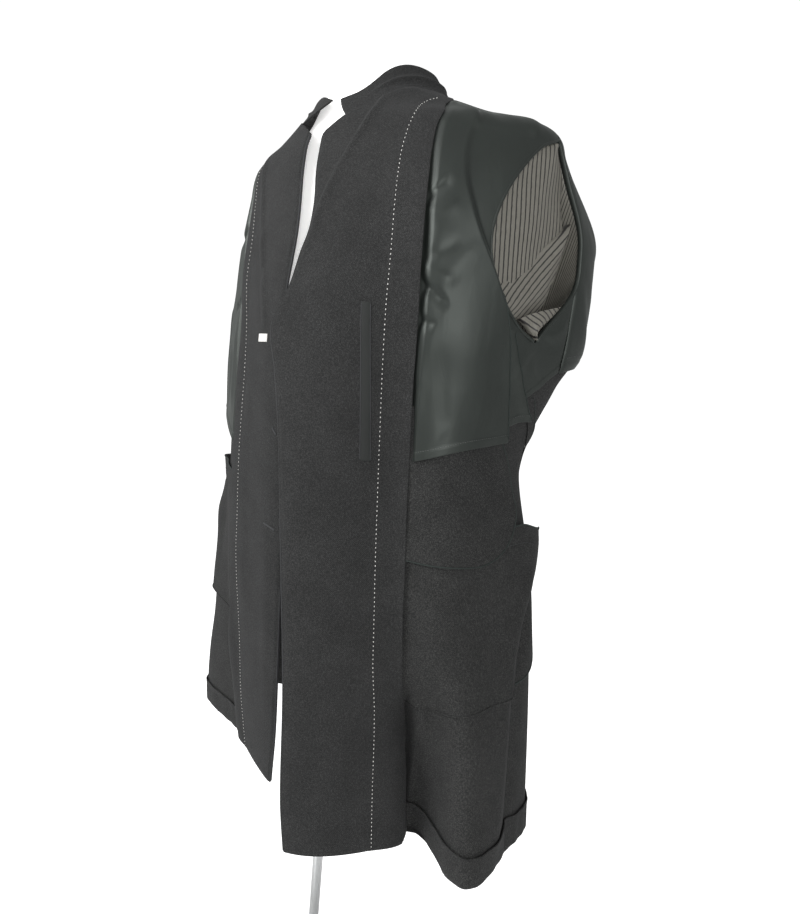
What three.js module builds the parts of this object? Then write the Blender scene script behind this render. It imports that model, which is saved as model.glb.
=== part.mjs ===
// A single-breasted wool coat, worn inside out and open in front, on a limbless dress form.
// Millimetres, +Z up. x runs to the wearer's left, -y to the front, and the floor is z = 0,
// with the origin under the pole. The coat's own heights, h, are counted up from its hem.
import * as THREE from "three";

// Driving sizes.
const HEM_HEIGHT = 497; // the hem above the floor
const WOOL = 1.8; // walls
const FACING = 1.5;
const SATIN = 1.1;
const POCKETING = 1.4;
const COLLAR = 2.8;
const REST_GAP = 0.5; // between a panel and what lies on it
const SEAM_ANGLE = 0.1; // half of the gap at a seam, degrees
const HEM_TURN_UP = 40;
const UNDERARM = 661; // lowest point of the left armhole
const ARMHOLE_TALL = 237;
const SHOULDER_DROP = 14; // the right shoulder hangs lower than the left
const SLEEVE_LENGTH = 610;
const BUTTON_RADIUS = 10;
const BUTTON_THICK = 3.6;
const TORSO_BOTTOM = 300; // above the hem
const NECK_TOP = 1006;
const POLE_RADIUS = 8;
const BASE_RADIUS = 185;
const BASE_THICK = 14;

const LEFT = 1;
const RIGHT = -1;
const DEG = Math.PI / 180;

// Girth sections of the coat. Width runs from the middle to the side and depth from the middle
// to the front, and square is the power of the rounded outline: 2 is an ellipse.
const FRONT_SECTIONS = {
  [LEFT]: [
    { h: 0, width: 306, depth: 248, square: 2.4 },
    { h: 200, width: 302, depth: 236, square: 2.4 },
    { h: 330, width: 286, depth: 228, square: 2.3 },
    { h: 400, width: 268, depth: 224, square: 2.3 },
    { h: 500, width: 246, depth: 214, square: 2.3 },
    { h: 600, width: 254, depth: 205, square: 2.3 },
    { h: 660, width: 264, depth: 202, square: 2.3 },
    { h: 720, width: 268, depth: 192, square: 2.3 },
    { h: 780, width: 268, depth: 176, square: 2.3 },
    { h: 840, width: 268, depth: 158, square: 2.2 },
    { h: 885, width: 266, depth: 142, square: 2.0 },
    { h: 910, width: 256, depth: 130, square: 1.9 },
    { h: 935, width: 204, depth: 116, square: 1.8 },
    { h: 955, width: 160, depth: 102, square: 1.9 },
    { h: 970, width: 104, depth: 90, square: 2.0 },
    { h: 990, width: 76, depth: 78, square: 2.0 },
    { h: 1000, width: 70, depth: 72, square: 2.0 },
  ],
  [RIGHT]: [
    { h: 0, width: 285, depth: 159, square: 1.25 },
    { h: 200, width: 268, depth: 166, square: 1.5 },
    { h: 330, width: 264, depth: 172, square: 1.6 },
    { h: 400, width: 266, depth: 176, square: 1.55 },
    { h: 500, width: 275, depth: 180, square: 1.4 },
    { h: 600, width: 272, depth: 180, square: 1.32 },
    { h: 660, width: 262, depth: 176, square: 1.33 },
    { h: 720, width: 248, depth: 166, square: 1.45 },
    { h: 780, width: 232, depth: 152, square: 1.62 },
    { h: 840, width: 225, depth: 138, square: 1.72 },
    { h: 870, width: 222, depth: 130, square: 1.8 },
    { h: 890, width: 212, depth: 124, square: 1.8 },
    { h: 910, width: 175, depth: 114, square: 1.8 },
    { h: 935, width: 130, depth: 102, square: 1.8 },
    { h: 955, width: 98, depth: 92, square: 1.9 },
    { h: 990, width: 74, depth: 78, square: 2.0 },
    { h: 1000, width: 70, depth: 72, square: 2.0 },
  ],
};

// The same sections behind: how far the middle lies back, and depth from it to the back.
const BACK_SECTIONS = [
  { h: 0, middle: 60, depth: 90, square: 2.4 },
  { h: 200, middle: 53, depth: 90, square: 2.4 },
  { h: 400, middle: 45, depth: 88, square: 2.4 },
  { h: 500, middle: 40, depth: 90, square: 2.6 },
  { h: 600, middle: 35, depth: 104, square: 2.8 },
  { h: 700, middle: 30, depth: 118, square: 3.0 },
  { h: 780, middle: 28, depth: 120, square: 3.0 },
  { h: 840, middle: 28, depth: 112, square: 2.8 },
  { h: 885, middle: 28, depth: 96, square: 2.4 },
  { h: 910, middle: 26, depth: 84, square: 2.1 },
  { h: 935, middle: 22, depth: 74, square: 1.9 },
  { h: 955, middle: 20, depth: 70, square: 1.9 },
  { h: 970, middle: 18, depth: 68, square: 2.0 },
  { h: 990, middle: 14, depth: 58, square: 2.0 },
  { h: 1000, middle: 12, depth: 56, square: 2.0 },
];

// Folds: a bell of the given spread round an angle, that moves the cloth out and along it.
// It grows between the heights from and full, and dies away between hold and gone.
const FOLDS = [
  { side: LEFT, angle: 42, spread: 14, out: -50, along: 45, from: -2, full: -1, hold: 0, gone: 1000 },
  { side: LEFT, angle: 56, spread: 9, out: -81, along: 30, from: -2, full: -1, hold: 0, gone: 330 },
  { side: LEFT, angle: 67, spread: 8, out: 33, along: -22, from: -2, full: -1, hold: 0, gone: 330 },
  { side: LEFT, angle: 112, spread: 20, out: 52, along: 0, from: 480, full: 640, hold: 780, gone: 900 },
  { side: LEFT, angle: 122, spread: 9, out: 16, along: 0, from: -2, full: -1, hold: 0, gone: 400 },
  { side: LEFT, angle: 146, spread: 9, out: -13, along: 0, from: -2, full: -1, hold: 0, gone: 460 },
  { side: LEFT, angle: 163, spread: 8, out: 11, along: 0, from: -2, full: -1, hold: 0, gone: 330 },
  { side: RIGHT, angle: 76, spread: 8, out: 60, along: 10, from: -2, full: -1, hold: 0, gone: 420 },
  { side: RIGHT, angle: 112, spread: 22, out: 30, along: 0, from: 480, full: 640, hold: 780, gone: 880 },
  { side: RIGHT, angle: 116, spread: 10, out: 15, along: 0, from: -2, full: -1, hold: 0, gone: 360 },
  { side: RIGHT, angle: 139, spread: 9, out: -14, along: 0, from: -2, full: -1, hold: 0, gone: 430 },
  { side: RIGHT, angle: 160, spread: 8, out: 9, along: 0, from: -2, full: -1, hold: 0, gone: 300 },
];

// Front edges with their lapels, from hem to lapel corner.
const FRONT_EDGE = {
  [LEFT]: [
    { h: 0, angle: 20 },
    { h: 70, angle: 18.3 },
    { h: 212, angle: 16.9 },
    { h: 325, angle: 14.6 },
    { h: 423, angle: 12.2 },
    { h: 531, angle: 8.5 },
    { h: 602, angle: 4.9 },
    { h: 653, angle: 2.2 },
    { h: 679, angle: 5.6 },
    { h: 706, angle: 9.0 },
    { h: 746, angle: 11.4 },
    { h: 776, angle: 12.9 },
    { h: 809, angle: 12.2 },
    { h: 848, angle: 9.1 },
    { h: 894, angle: 6.4 },
  ],
  [RIGHT]: [
    { h: 0, angle: 9.0 },
    { h: 85, angle: 4.4 },
    { h: 200, angle: 2 },
    { h: 300, angle: 0 },
    { h: 395, angle: -3.2 },
    { h: 525, angle: -4 },
    { h: 600, angle: -3 },
    { h: 656, angle: -1 },
    { h: 703, angle: 1.2 },
    { h: 740, angle: 1.4 },
    { h: 777, angle: 2.4 },
    { h: 813, angle: 5 },
    { h: 868, angle: 11 },
    { h: 903, angle: 15 },
  ],
};

// The inner edges of the facings.
const FACING_EDGE = {
  [LEFT]: [
    { h: 0, angle: 43.5 },
    { h: 205, angle: 43.3 },
    { h: 388, angle: 45.4 },
    { h: 516, angle: 47.7 },
    { h: 650, angle: 49.1 },
    { h: 749, angle: 50.6 },
    { h: 847, angle: 53.1 },
    { h: 886, angle: 55.4 },
    { h: 905, angle: 58.1 },
    { h: 929, angle: 65 },
    { h: 945, angle: 74 },
    { h: 966, angle: 85 },
  ],
  [RIGHT]: [
    { h: 0, angle: 54 },
    { h: 100, angle: 57 },
    { h: 200, angle: 53 },
    { h: 330, angle: 47 },
    { h: 400, angle: 45 },
    { h: 500, angle: 45 },
    { h: 600, angle: 47 },
    { h: 660, angle: 50 },
    { h: 780, angle: 55 },
    { h: 870, angle: 61 },
    { h: 910, angle: 66 },
    { h: 935, angle: 76 },
    { h: 952, angle: 85 },
  ],
};

// Where front and back meet, from the hem up to the armhole.
const SIDE_SEAM = [
  { h: 0, angle: 102 },
  { h: 330, angle: 101.5 },
  { h: 480, angle: 100 },
  { h: 540, angle: 94 },
  { h: 600, angle: 86 },
  { h: 661, angle: 84.5 },
];

// The armhole's two sides, and above them the shoulder seam, for the left. The right hangs lower.
const ARMHOLE_FRONT = [
  { h: 661, angle: 84.3 },
  { h: 674, angle: 78.2 },
  { h: 701, angle: 72.4 },
  { h: 728, angle: 69.1 },
  { h: 760, angle: 67.7 },
  { h: 792, angle: 68.8 },
  { h: 828, angle: 72.3 },
  { h: 864, angle: 78 },
  { h: 885, angle: 83 },
  { h: 898, angle: 88.6 },
  { h: 912, angle: 89.2 },
  { h: 972, angle: 89.4 },
];
const ARMHOLE_BACK = [
  { h: 661, angle: 84.7 },
  { h: 678, angle: 87.4 },
  { h: 707, angle: 92.6 },
  { h: 735, angle: 95.8 },
  { h: 764, angle: 96.2 },
  { h: 812, angle: 95.4 },
  { h: 850, angle: 93.8 },
  { h: 880, angle: 91.6 },
  { h: 898, angle: 89.9 },
  { h: 912, angle: 89.6 },
  { h: 972, angle: 89.6 },
];

// The top of the body: lapel, gorge, shoulder-neck point and back neck.
const NECKLINE = {
  [LEFT]: [
    { angle: 0, h: 884 },
    { angle: 6.4, h: 894 },
    { angle: 18.2, h: 916 },
    { angle: 28.6, h: 928 },
    { angle: 38.9, h: 941 },
    { angle: 49.8, h: 952 },
    { angle: 62, h: 961 },
    { angle: 75, h: 967 },
    { angle: 89, h: 970 },
    { angle: 130, h: 971 },
    { angle: 180, h: 971 },
  ],
  [RIGHT]: [
    { angle: 0, h: 888 },
    { angle: 15, h: 903 },
    { angle: 27, h: 918 },
    { angle: 40, h: 930 },
    { angle: 50, h: 939 },
    { angle: 62, h: 946 },
    { angle: 75, h: 952 },
    { angle: 89, h: 956 },
    { angle: 130, h: 964 },
    { angle: 180, h: 971 },
  ],
};

// The collar's outer edge, from its tip round to the back.
const COLLAR_EDGE = {
  [LEFT]: [
    { angle: 9, h: 939 },
    { angle: 23, h: 948 },
    { angle: 40, h: 974 },
    { angle: 55, h: 986 },
    { angle: 75, h: 990 },
    { angle: 180, h: 990 },
  ],
  [RIGHT]: [
    { angle: 4, h: 950 },
    { angle: 20, h: 960 },
    { angle: 38, h: 960 },
    { angle: 60, h: 966 },
    { angle: 90, h: 975 },
    { angle: 130, h: 984 },
    { angle: 180, h: 990 },
  ],
};
const COLLAR_NOTCH = { [LEFT]: 18.2, [RIGHT]: 27 };

// The dress form: a general torso, the same on both sides.
const TORSO_SECTIONS = [
  { h: TORSO_BOTTOM, width: 138, front: 92, back: 84, middle: 6 },
  { h: TORSO_BOTTOM + 6, width: 150, front: 103, back: 94, middle: 6 },
  { h: TORSO_BOTTOM + 22, width: 157, front: 109, back: 100, middle: 6 },
  { h: 380, width: 158, front: 108, back: 100, middle: 6 },
  { h: 440, width: 150, front: 103, back: 94, middle: 6 },
  { h: 520, width: 138, front: 97, back: 84, middle: 6 },
  { h: 600, width: 144, front: 106, back: 90, middle: 8 },
  { h: 680, width: 158, front: 118, back: 100, middle: 10 },
  { h: 750, width: 168, front: 122, back: 106, middle: 11 },
  { h: 810, width: 172, front: 114, back: 104, middle: 12 },
  { h: 855, width: 172, front: 102, back: 96, middle: 12 },
  { h: 885, width: 164, front: 90, back: 84, middle: 12 },
  { h: 905, width: 148, front: 80, back: 74, middle: 11 },
  { h: 922, width: 120, front: 72, back: 66, middle: 10 },
  { h: 938, width: 90, front: 66, back: 62, middle: 8 },
  { h: 952, width: 70, front: 60, back: 60, middle: 5 },
  { h: 968, width: 61, front: 56, back: 58, middle: 3 },
  { h: 990, width: 58, front: 54, back: 57, middle: 2 },
  { h: NECK_TOP, width: 58, front: 54, back: 57, middle: 2 },
];

const FINISHES = {
  wool: { color: 0x3c3d40, roughness: 0.92, metalness: 0 },
  facing: { color: 0x424245, roughness: 0.92, metalness: 0 },
  satin: { color: 0x3f4441, roughness: 0.42, metalness: 0 },
  pocketing: { color: 0x3a3d3e, roughness: 0.85, metalness: 0 },
  striped_lining: { color: 0x9b958a, roughness: 0.6, metalness: 0 },
  horn_button: { color: 0x24211f, roughness: 0.4, metalness: 0 },
  tab: { color: 0xe4e2dc, roughness: 0.8, metalness: 0 },
  form_cover: { color: 0xf2f1ee, roughness: 0.7, metalness: 0 },
  stand_metal: { color: 0xc9cbcd, roughness: 0.3, metalness: 0.9 },
};

function smooth(t) {
  const x = Math.min(Math.max(t, 0), 1);
  return x * x * (3 - 2 * x);
}

function mix(a, b, t) {
  return a + (b - a) * t;
}

// Reads a column of a table at x, by a cubic whose slope at a row is that of its neighbours.
function read(table, key, column, x) {
  const last = table.length - 1;
  let i = 0;
  while (i < last - 1 && x >= table[i + 1][key]) i += 1;
  const slope = (k) => {
    const before = table[Math.max(k - 1, 0)];
    const after = table[Math.min(k + 1, last)];
    return (after[column] - before[column]) / (after[key] - before[key]);
  };
  const length = table[i + 1][key] - table[i][key];
  const t = Math.min(Math.max((x - table[i][key]) / length, 0), 1);
  const rise = t * t * (3 - 2 * t);
  const start = t * (1 - t) * (1 - t);
  const end = t * t * (t - 1);
  return (
    mix(table[i][column], table[i + 1][column], rise) +
    length * (start * slope(i) + end * slope(i + 1))
  );
}

// How far a fold is developed at a height.
function grown(fold, h) {
  const up = smooth((h - fold.from) / (fold.full - fold.from));
  const down = 1 - smooth((h - fold.hold) / (fold.gone - fold.hold));
  return up * down;
}

// A point of the coat's outer face: angle 0 is the middle front and 180 the middle back.
function girth(side, angle, h) {
  const s = Math.sin(angle * DEG);
  const c = Math.cos(angle * DEG);
  const sections = c > 0 ? FRONT_SECTIONS[side] : BACK_SECTIONS;
  const width = read(FRONT_SECTIONS[side], "h", "width", h);
  const depth = read(sections, "h", "depth", h);
  const square = read(sections, "h", "square", h);
  const sum = Math.abs(s / width) ** square + Math.abs(c / depth) ** square;
  let reach = sum ** (-1 / square);
  let along = 0;
  for (const fold of FOLDS) {
    if (fold.side !== side) continue;
    const bell = Math.exp(-(((angle - fold.angle) / fold.spread) ** 2)) * grown(fold, h);
    reach += fold.out * bell;
    along += fold.along * bell;
  }
  const middle = read(BACK_SECTIONS, "h", "middle", h);
  return new THREE.Vector3(
    side * (reach * s + along * c),
    middle - reach * c + along * s,
    HEM_HEIGHT + h,
  );
}

// The cloth's outward normal there, and the point moved out along it.
function girthNormal(side, angle, h) {
  const turn = 0.5;
  const step = 2;
  const across = girth(side, angle + turn, h).sub(girth(side, angle - turn, h));
  const up = girth(side, angle, h + step).sub(girth(side, angle, h - step));
  return across.cross(up).multiplyScalar(side).normalize();
}

function skin(side, angle, h, lift) {
  return girth(side, angle, h).addScaledVector(girthNormal(side, angle, h), lift);
}

function volumeOf(points, faces) {
  const cross = new THREE.Vector3();
  let sum = 0;
  for (const [a, b, c] of faces) sum += points[a].dot(cross.crossVectors(points[b], points[c]));
  return sum / 6;
}

// A named mesh from points and triangles, with its faces turned outwards.
function solid(name, finish, points, faces) {
  const turned = volumeOf(points, faces) > 0 ? faces : faces.map(([a, b, c]) => [a, c, b]);
  const geometry = new THREE.BufferGeometry();
  const positions = points.flatMap((p) => [p.x, p.y, p.z]);
  geometry.setAttribute("position", new THREE.Float32BufferAttribute(positions, 3));
  geometry.setIndex(turned.flat());
  geometry.computeVertexNormals();
  const mesh = new THREE.Mesh(geometry, new THREE.MeshStandardMaterial(FINISHES[finish]));
  mesh.name = name;
  return mesh;
}

function quad(a, b, c, d) {
  return [
    [a, b, c],
    [a, c, d],
  ];
}

// A closed wall over a grid: point(u, v, face) gives its inner face (0) and outer face (1).
function wall(name, finish, columns, rows, point) {
  const points = [];
  for (const face of [0, 1]) {
    for (let j = 0; j <= rows; j += 1) {
      for (let i = 0; i <= columns; i += 1) points.push(point(i / columns, j / rows, face));
    }
  }
  const layer = (columns + 1) * (rows + 1);
  const at = (i, j, face) => face * layer + j * (columns + 1) + i;
  const faces = [];
  for (let j = 0; j < rows; j += 1) {
    for (let i = 0; i < columns; i += 1) {
      faces.push(...quad(at(i, j, 1), at(i + 1, j, 1), at(i + 1, j + 1, 1), at(i, j + 1, 1)));
      faces.push(...quad(at(i, j, 0), at(i, j + 1, 0), at(i + 1, j + 1, 0), at(i + 1, j, 0)));
    }
  }
  for (let i = 0; i < columns; i += 1) {
    faces.push(...quad(at(i, 0, 0), at(i + 1, 0, 0), at(i + 1, 0, 1), at(i, 0, 1)));
    faces.push(...quad(at(i, rows, 1), at(i + 1, rows, 1), at(i + 1, rows, 0), at(i, rows, 0)));
  }
  for (let j = 0; j < rows; j += 1) {
    faces.push(...quad(at(0, j, 1), at(0, j + 1, 1), at(0, j + 1, 0), at(0, j, 0)));
    faces.push(...quad(at(columns, j, 0), at(columns, j + 1, 0), at(columns, j + 1, 1), at(columns, j, 1)));
  }
  return solid(name, finish, points, faces);
}

// A tube wall with open ends: point(turn, v, face), turn going once round.
function tube(name, finish, around, rows, point) {
  const points = [];
  for (const face of [0, 1]) {
    for (let j = 0; j <= rows; j += 1) {
      for (let i = 0; i < around; i += 1) points.push(point(i / around, j / rows, face));
    }
  }
  const layer = around * (rows + 1);
  const at = (i, j, face) => face * layer + j * around + (i % around);
  const faces = [];
  for (let i = 0; i < around; i += 1) {
    for (let j = 0; j < rows; j += 1) {
      faces.push(...quad(at(i, j, 1), at(i + 1, j, 1), at(i + 1, j + 1, 1), at(i, j + 1, 1)));
      faces.push(...quad(at(i, j, 0), at(i, j + 1, 0), at(i + 1, j + 1, 0), at(i + 1, j, 0)));
    }
    faces.push(...quad(at(i, 0, 0), at(i + 1, 0, 0), at(i + 1, 0, 1), at(i, 0, 1)));
    faces.push(...quad(at(i, rows, 1), at(i + 1, rows, 1), at(i + 1, rows, 0), at(i, rows, 0)));
  }
  return solid(name, finish, points, faces);
}

// A solid through level rings, closed by a flat fan at each end.
function loft(name, finish, around, rings, point) {
  const points = [];
  for (let j = 0; j < rings; j += 1) {
    for (let i = 0; i < around; i += 1) points.push(point(i / around, j));
  }
  const middleOf = (j) => {
    const sum = new THREE.Vector3();
    for (let i = 0; i < around; i += 1) sum.add(points[j * around + i]);
    return sum.divideScalar(around);
  };
  const bottom = points.push(middleOf(0)) - 1;
  const top = points.push(middleOf(rings - 1)) - 1;
  const at = (i, j) => j * around + (i % around);
  const faces = [];
  for (let i = 0; i < around; i += 1) {
    for (let j = 0; j < rings - 1; j += 1) {
      faces.push(...quad(at(i, j), at(i + 1, j), at(i + 1, j + 1), at(i, j + 1)));
    }
    faces.push([bottom, at(i + 1, 0), at(i, 0)]);
    faces.push([top, at(i, rings - 1), at(i + 1, rings - 1)]);
  }
  return solid(name, finish, points, faces);
}

function drop(side) {
  return side === LEFT ? 0 : SHOULDER_DROP;
}

function underarm(side) {
  return UNDERARM - drop(side);
}

function frontEdge(side, h) {
  return read(FRONT_EDGE[side], "h", "angle", h);
}

function facingEdge(side, h) {
  return read(FACING_EDGE[side], "h", "angle", h);
}

function neckline(side, angle) {
  return read(NECKLINE[side], "angle", "h", angle);
}

// The end of the front or of the back at a height: side seam, armhole, then shoulder seam.
function panelEnd(side, h, armhole) {
  const level = h + drop(side);
  if (level < UNDERARM) return read(SIDE_SEAM, "h", "angle", level);
  return read(armhole, "h", "angle", level);
}

// Heights of the rows of a body panel: level below the underarm, then fanned to the neckline.
const LOW_ROWS = 14;
const HIGH_ROWS = 8;
const ROWS = LOW_ROWS + HIGH_ROWS;

function panelHeight(side, row, angle) {
  const low = underarm(side);
  if (row <= 1) return row * HEM_TURN_UP;
  if (row <= LOW_ROWS) return mix(HEM_TURN_UP, low, (row - 1) / (LOW_ROWS - 1));
  return mix(low, neckline(side, angle), (row - LOW_ROWS) / HIGH_ROWS);
}

// A body panel as a grid of points of the coat's outer face. angleAt(column, h) spreads its
// columns between its two ends.
function makePanel(side, columns, angleAt) {
  const nodes = [];
  for (let row = 0; row <= ROWS; row += 1) {
    const line = [];
    for (let column = 0; column <= columns; column += 1) {
      let angle = angleAt(column, 600);
      let h = 0;
      for (let pass = 0; pass < 12; pass += 1) {
        h = panelHeight(side, row, angle);
        angle = angleAt(column, h);
      }
      const point = girth(side, angle, h);
      line.push({ angle, h, point, normal: girthNormal(side, angle, h) });
    }
    nodes.push(line);
  }
  return { side, columns, nodes };
}

// The panel at a column and row that may lie between its grid lines.
function panelAt(panel, column, row) {
  const i = Math.min(Math.max(Math.floor(column), 0), panel.columns - 1);
  const j = Math.min(Math.max(Math.floor(row), 0), ROWS - 1);
  const s = column - i;
  const t = row - j;
  const [a, b] = [panel.nodes[j][i], panel.nodes[j][i + 1]];
  const [c, d] = [panel.nodes[j + 1][i], panel.nodes[j + 1][i + 1]];
  const blend = (key) => a[key].clone().lerp(b[key], s).lerp(c[key].clone().lerp(d[key], s), t);
  return {
    angle: mix(mix(a.angle, b.angle, s), mix(c.angle, d.angle, s), t),
    h: mix(mix(a.h, b.h, s), mix(c.h, d.h, s), t),
    point: blend("point"),
    normal: blend("normal").normalize(),
  };
}

// The same panel moved out, so that more cloth can lie on what lies on it.
function raised(panel, lift) {
  const nodes = panel.nodes.map((line) =>
    line.map((node) => ({
      ...node,
      point: node.point.clone().addScaledVector(node.normal, lift(node.angle, node.h)),
    })),
  );
  return { ...panel, nodes };
}

// The column and row of a panel that lie at an angle and a height.
function locate(panel, angle, h) {
  let column = panel.columns / 2;
  let row = ROWS / 2;
  for (let pass = 0; pass < 8; pass += 1) {
    let low = 0;
    let high = ROWS;
    for (let halving = 0; halving < 24; halving += 1) {
      const middle = (low + high) / 2;
      if (panelAt(panel, column, middle).h < h) low = middle;
      else high = middle;
    }
    row = low;
    [low, high] = [0, panel.columns];
    for (let halving = 0; halving < 24; halving += 1) {
      const middle = (low + high) / 2;
      if (panelAt(panel, middle, row).angle < angle) low = middle;
      else high = middle;
    }
    column = low;
  }
  return [column, row];
}

// A piece of cloth laid on a panel: place(u, v) gives its column and row there, and lift its
// inner face above the panel.
function cloth(name, finish, panel, columns, rows, thick, place, lift) {
  return wall(name, finish, columns, rows, (u, v, face) => {
    const at = panelAt(panel, ...place(u, v));
    return at.point.addScaledVector(at.normal, lift(at.angle, at.h) + face * thick);
  });
}

// Columns of a front: the first ones lie under the facing and the rest run on to the side.
const FACING_COLUMNS = 5;
const SIDE_COLUMNS = 11;
const FRONT_COLUMNS = FACING_COLUMNS + SIDE_COLUMNS;
const BACK_COLUMNS = 10;

function frontPanel(side) {
  return makePanel(side, FRONT_COLUMNS, (column, h) => {
    const inner = facingEdge(side, h);
    if (column <= FACING_COLUMNS) return mix(frontEdge(side, h), inner, column / FACING_COLUMNS);
    const end = panelEnd(side, h, ARMHOLE_FRONT) - SEAM_ANGLE;
    return mix(inner, end, (column - FACING_COLUMNS) / SIDE_COLUMNS);
  });
}

function backPanel(side) {
  return makePanel(side, BACK_COLUMNS, (column, h) => {
    const start = panelEnd(side, h, ARMHOLE_BACK) + SEAM_ANGLE;
    return mix(start, 180 - SEAM_ANGLE, column / BACK_COLUMNS);
  });
}

function buildPanel(name, panel) {
  const place = (u, v) => [u * panel.columns, v * ROWS];
  return cloth(name, "wool", panel, panel.columns, ROWS, WOOL, place, () => -WOOL);
}

// The facing lies on the front and stands off it at its inner edge, over the pocket bags.
const FACING_STAND_OFF = 3.8;
const FACING_RISE = 12; // degrees from flat to full stand-off

function facingLift(side, angle, h) {
  const near = smooth((angle - facingEdge(side, h) + FACING_RISE) / FACING_RISE);
  const low = 1 - smooth((h - 760) / 140);
  return REST_GAP + (FACING_STAND_OFF - REST_GAP) * near * low;
}

function buildFacing(name, panel) {
  const place = (u, v) => [u * FACING_COLUMNS, v * ROWS];
  const lift = (angle, h) => facingLift(panel.side, angle, h);
  return cloth(name, "facing", panel, FACING_COLUMNS, ROWS, FACING, place, lift);
}

// Keeps a column clear of the facing or seam at either end of its piece.
const EDGE_ANGLE = 0.2;

function clear(panel, first, column, row) {
  const width = (i) => Math.abs(panelAt(panel, i + 1, row).angle - panelAt(panel, i, row).angle);
  const start = first + Math.min(EDGE_ANGLE / width(first), 0.7);
  const end = panel.columns - Math.min(EDGE_ANGLE / width(panel.columns - 1), 0.7);
  return Math.min(Math.max(column, start), end);
}

// The turned-up hems, on the panels' own columns.
const HEM_REST = 0.9;

function buildFrontHem(name, panel) {
  const place = (u, v) => {
    const column = mix(FACING_COLUMNS, FRONT_COLUMNS, u);
    return [clear(panel, FACING_COLUMNS, column, v), v];
  };
  return cloth(name, "wool", panel, SIDE_COLUMNS, 1, FACING, place, () => HEM_REST);
}

function buildBackHem(name, panel) {
  const place = (u, v) => [clear(panel, 0, u * BACK_COLUMNS, v), v];
  return cloth(name, "wool", panel, BACK_COLUMNS, 1, FACING, place, () => HEM_REST);
}

// The half lining. Each piece hangs free at its hem, and the front one covers the side one.
const FRONT_LINING_HEM = [
  { angle: 40, h: 500 },
  { angle: 54, h: 515 },
  { angle: 68, h: 531 },
  { angle: 82, h: 541 },
];
const FRONT_LINING_END = [
  { h: 536, angle: 80.4 },
  { h: 590, angle: 77.7 },
  { h: 632, angle: 75.3 },
  { h: 675, angle: 72.8 },
  { h: 715, angle: 70.2 },
];
const BACK_LINING_HEM = [
  { angle: 86, h: 600 },
  { angle: 90.5, h: 612 },
  { angle: 96, h: 630 },
  { angle: 110, h: 642 },
  { angle: 140, h: 636 },
  { angle: 180, h: 640 },
];
const LINING_LIFT = 4.8; // over the inner pocket bag
const LINING_REST = 1.1;

// Rows of a lining: its hem, then the panel's own rows from the first one above the hem.
function liningRow(hemRow, firstRow, index) {
  return index === 0 ? hemRow : firstRow + index - 1;
}

function buildFrontLining(name, panel) {
  const { side } = panel;
  const firstRow = 13;
  const rows = ROWS - firstRow + 1;
  const place = (u, v) => {
    const index = Math.round(v * rows);
    const hemAngle = mix(facingEdge(side, 520), 80.4, u);
    const hemHeight = read(FRONT_LINING_HEM, "angle", "h", hemAngle) - drop(side);
    const hemRow = locate(panel, hemAngle, hemHeight)[1];
    const row = liningRow(hemRow, firstRow, index);
    const { h } = panelAt(panel, FRONT_COLUMNS, row);
    const level = h + drop(side);
    const free = locate(panel, read(FRONT_LINING_END, "h", "angle", level), h)[0];
    const end = level < 715 ? Math.min(free, FRONT_COLUMNS) : FRONT_COLUMNS;
    return [clear(panel, FACING_COLUMNS, mix(FACING_COLUMNS, end, u), row), row];
  };
  const lift = (angle, h) => mix(LINING_LIFT, LINING_REST, smooth((h - 640) / 120));
  return cloth(name, "satin", panel, SIDE_COLUMNS, rows, SATIN, place, lift);
}

// The side lining's free edge slants back from the armhole to its hem.
function buildSideLining(name, panel) {
  const place = (u, v) => {
    const level = mix(mix(552, 568, u), 664, v) - drop(panel.side);
    const angle = mix(70, mix(89.6, 79.5, v), u);
    return locate(panel, Math.min(angle, panelEnd(panel.side, level, ARMHOLE_FRONT) - 0.6), level);
  };
  return cloth(name, "satin", panel, 5, 4, SATIN, place, () => 2.4);
}

// The rest of it runs under the armhole and round to the middle back.
function buildBackLining(name, panel) {
  const firstRow = 14;
  const rows = ROWS - firstRow + 1;
  const place = (u, v) => {
    const index = Math.round(v * rows);
    const { angle } = panelAt(panel, u * BACK_COLUMNS, 13.4);
    const hem = read(BACK_LINING_HEM, "angle", "h", angle) - drop(panel.side) * (1 - u);
    const hemRow = Math.min(locate(panel, angle, hem)[1], firstRow - 0.2);
    const row = liningRow(hemRow, firstRow, index);
    return [clear(panel, 0, u * BACK_COLUMNS, row), row];
  };
  const lift = (angle, h) => mix(2.2, LINING_REST, smooth((h - 640) / 80));
  return cloth(name, "satin", panel, BACK_COLUMNS, rows, SATIN, place, lift);
}

// A hip pocket bag stands off the side, most at its outer end. Its columns and rows are the
// panel's own, between the ones given here.
const HIP_BAGS = {
  [LEFT]: { end: 15.2, low: 4.27, high: 9.17, rest: 1.6, stand: 17 },
  [RIGHT]: { end: 14.6, low: 4.3, high: 9.7, rest: 1.6, stand: 30 },
};

function hipBagLift(panel, angle, h) {
  const bag = HIP_BAGS[panel.side];
  const [column, row] = locate(panel, angle, h);
  const out = smooth((column - 9) / (bag.end - 9));
  const upper = mix(0.55, 1, smooth((row - bag.low) / (bag.high - bag.low)));
  return bag.rest + bag.stand * out * upper;
}

function buildHipBag(name, panel) {
  const bag = HIP_BAGS[panel.side];
  const columns = Math.ceil(bag.end) - FACING_COLUMNS;
  const rows = Math.ceil(bag.high) - Math.floor(bag.low);
  const place = (u, v) => {
    const row = Math.min(Math.max(Math.floor(bag.low) + v * rows, bag.low + 0.5 * u), bag.high);
    const column = Math.min(FACING_COLUMNS + u * columns, bag.end);
    return [clear(panel, FACING_COLUMNS, column, row), row];
  };
  const lift = (angle, h) => hipBagLift(panel, angle, h);
  return cloth(name, "pocketing", panel, columns, rows, POCKETING, place, lift);
}

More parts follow.
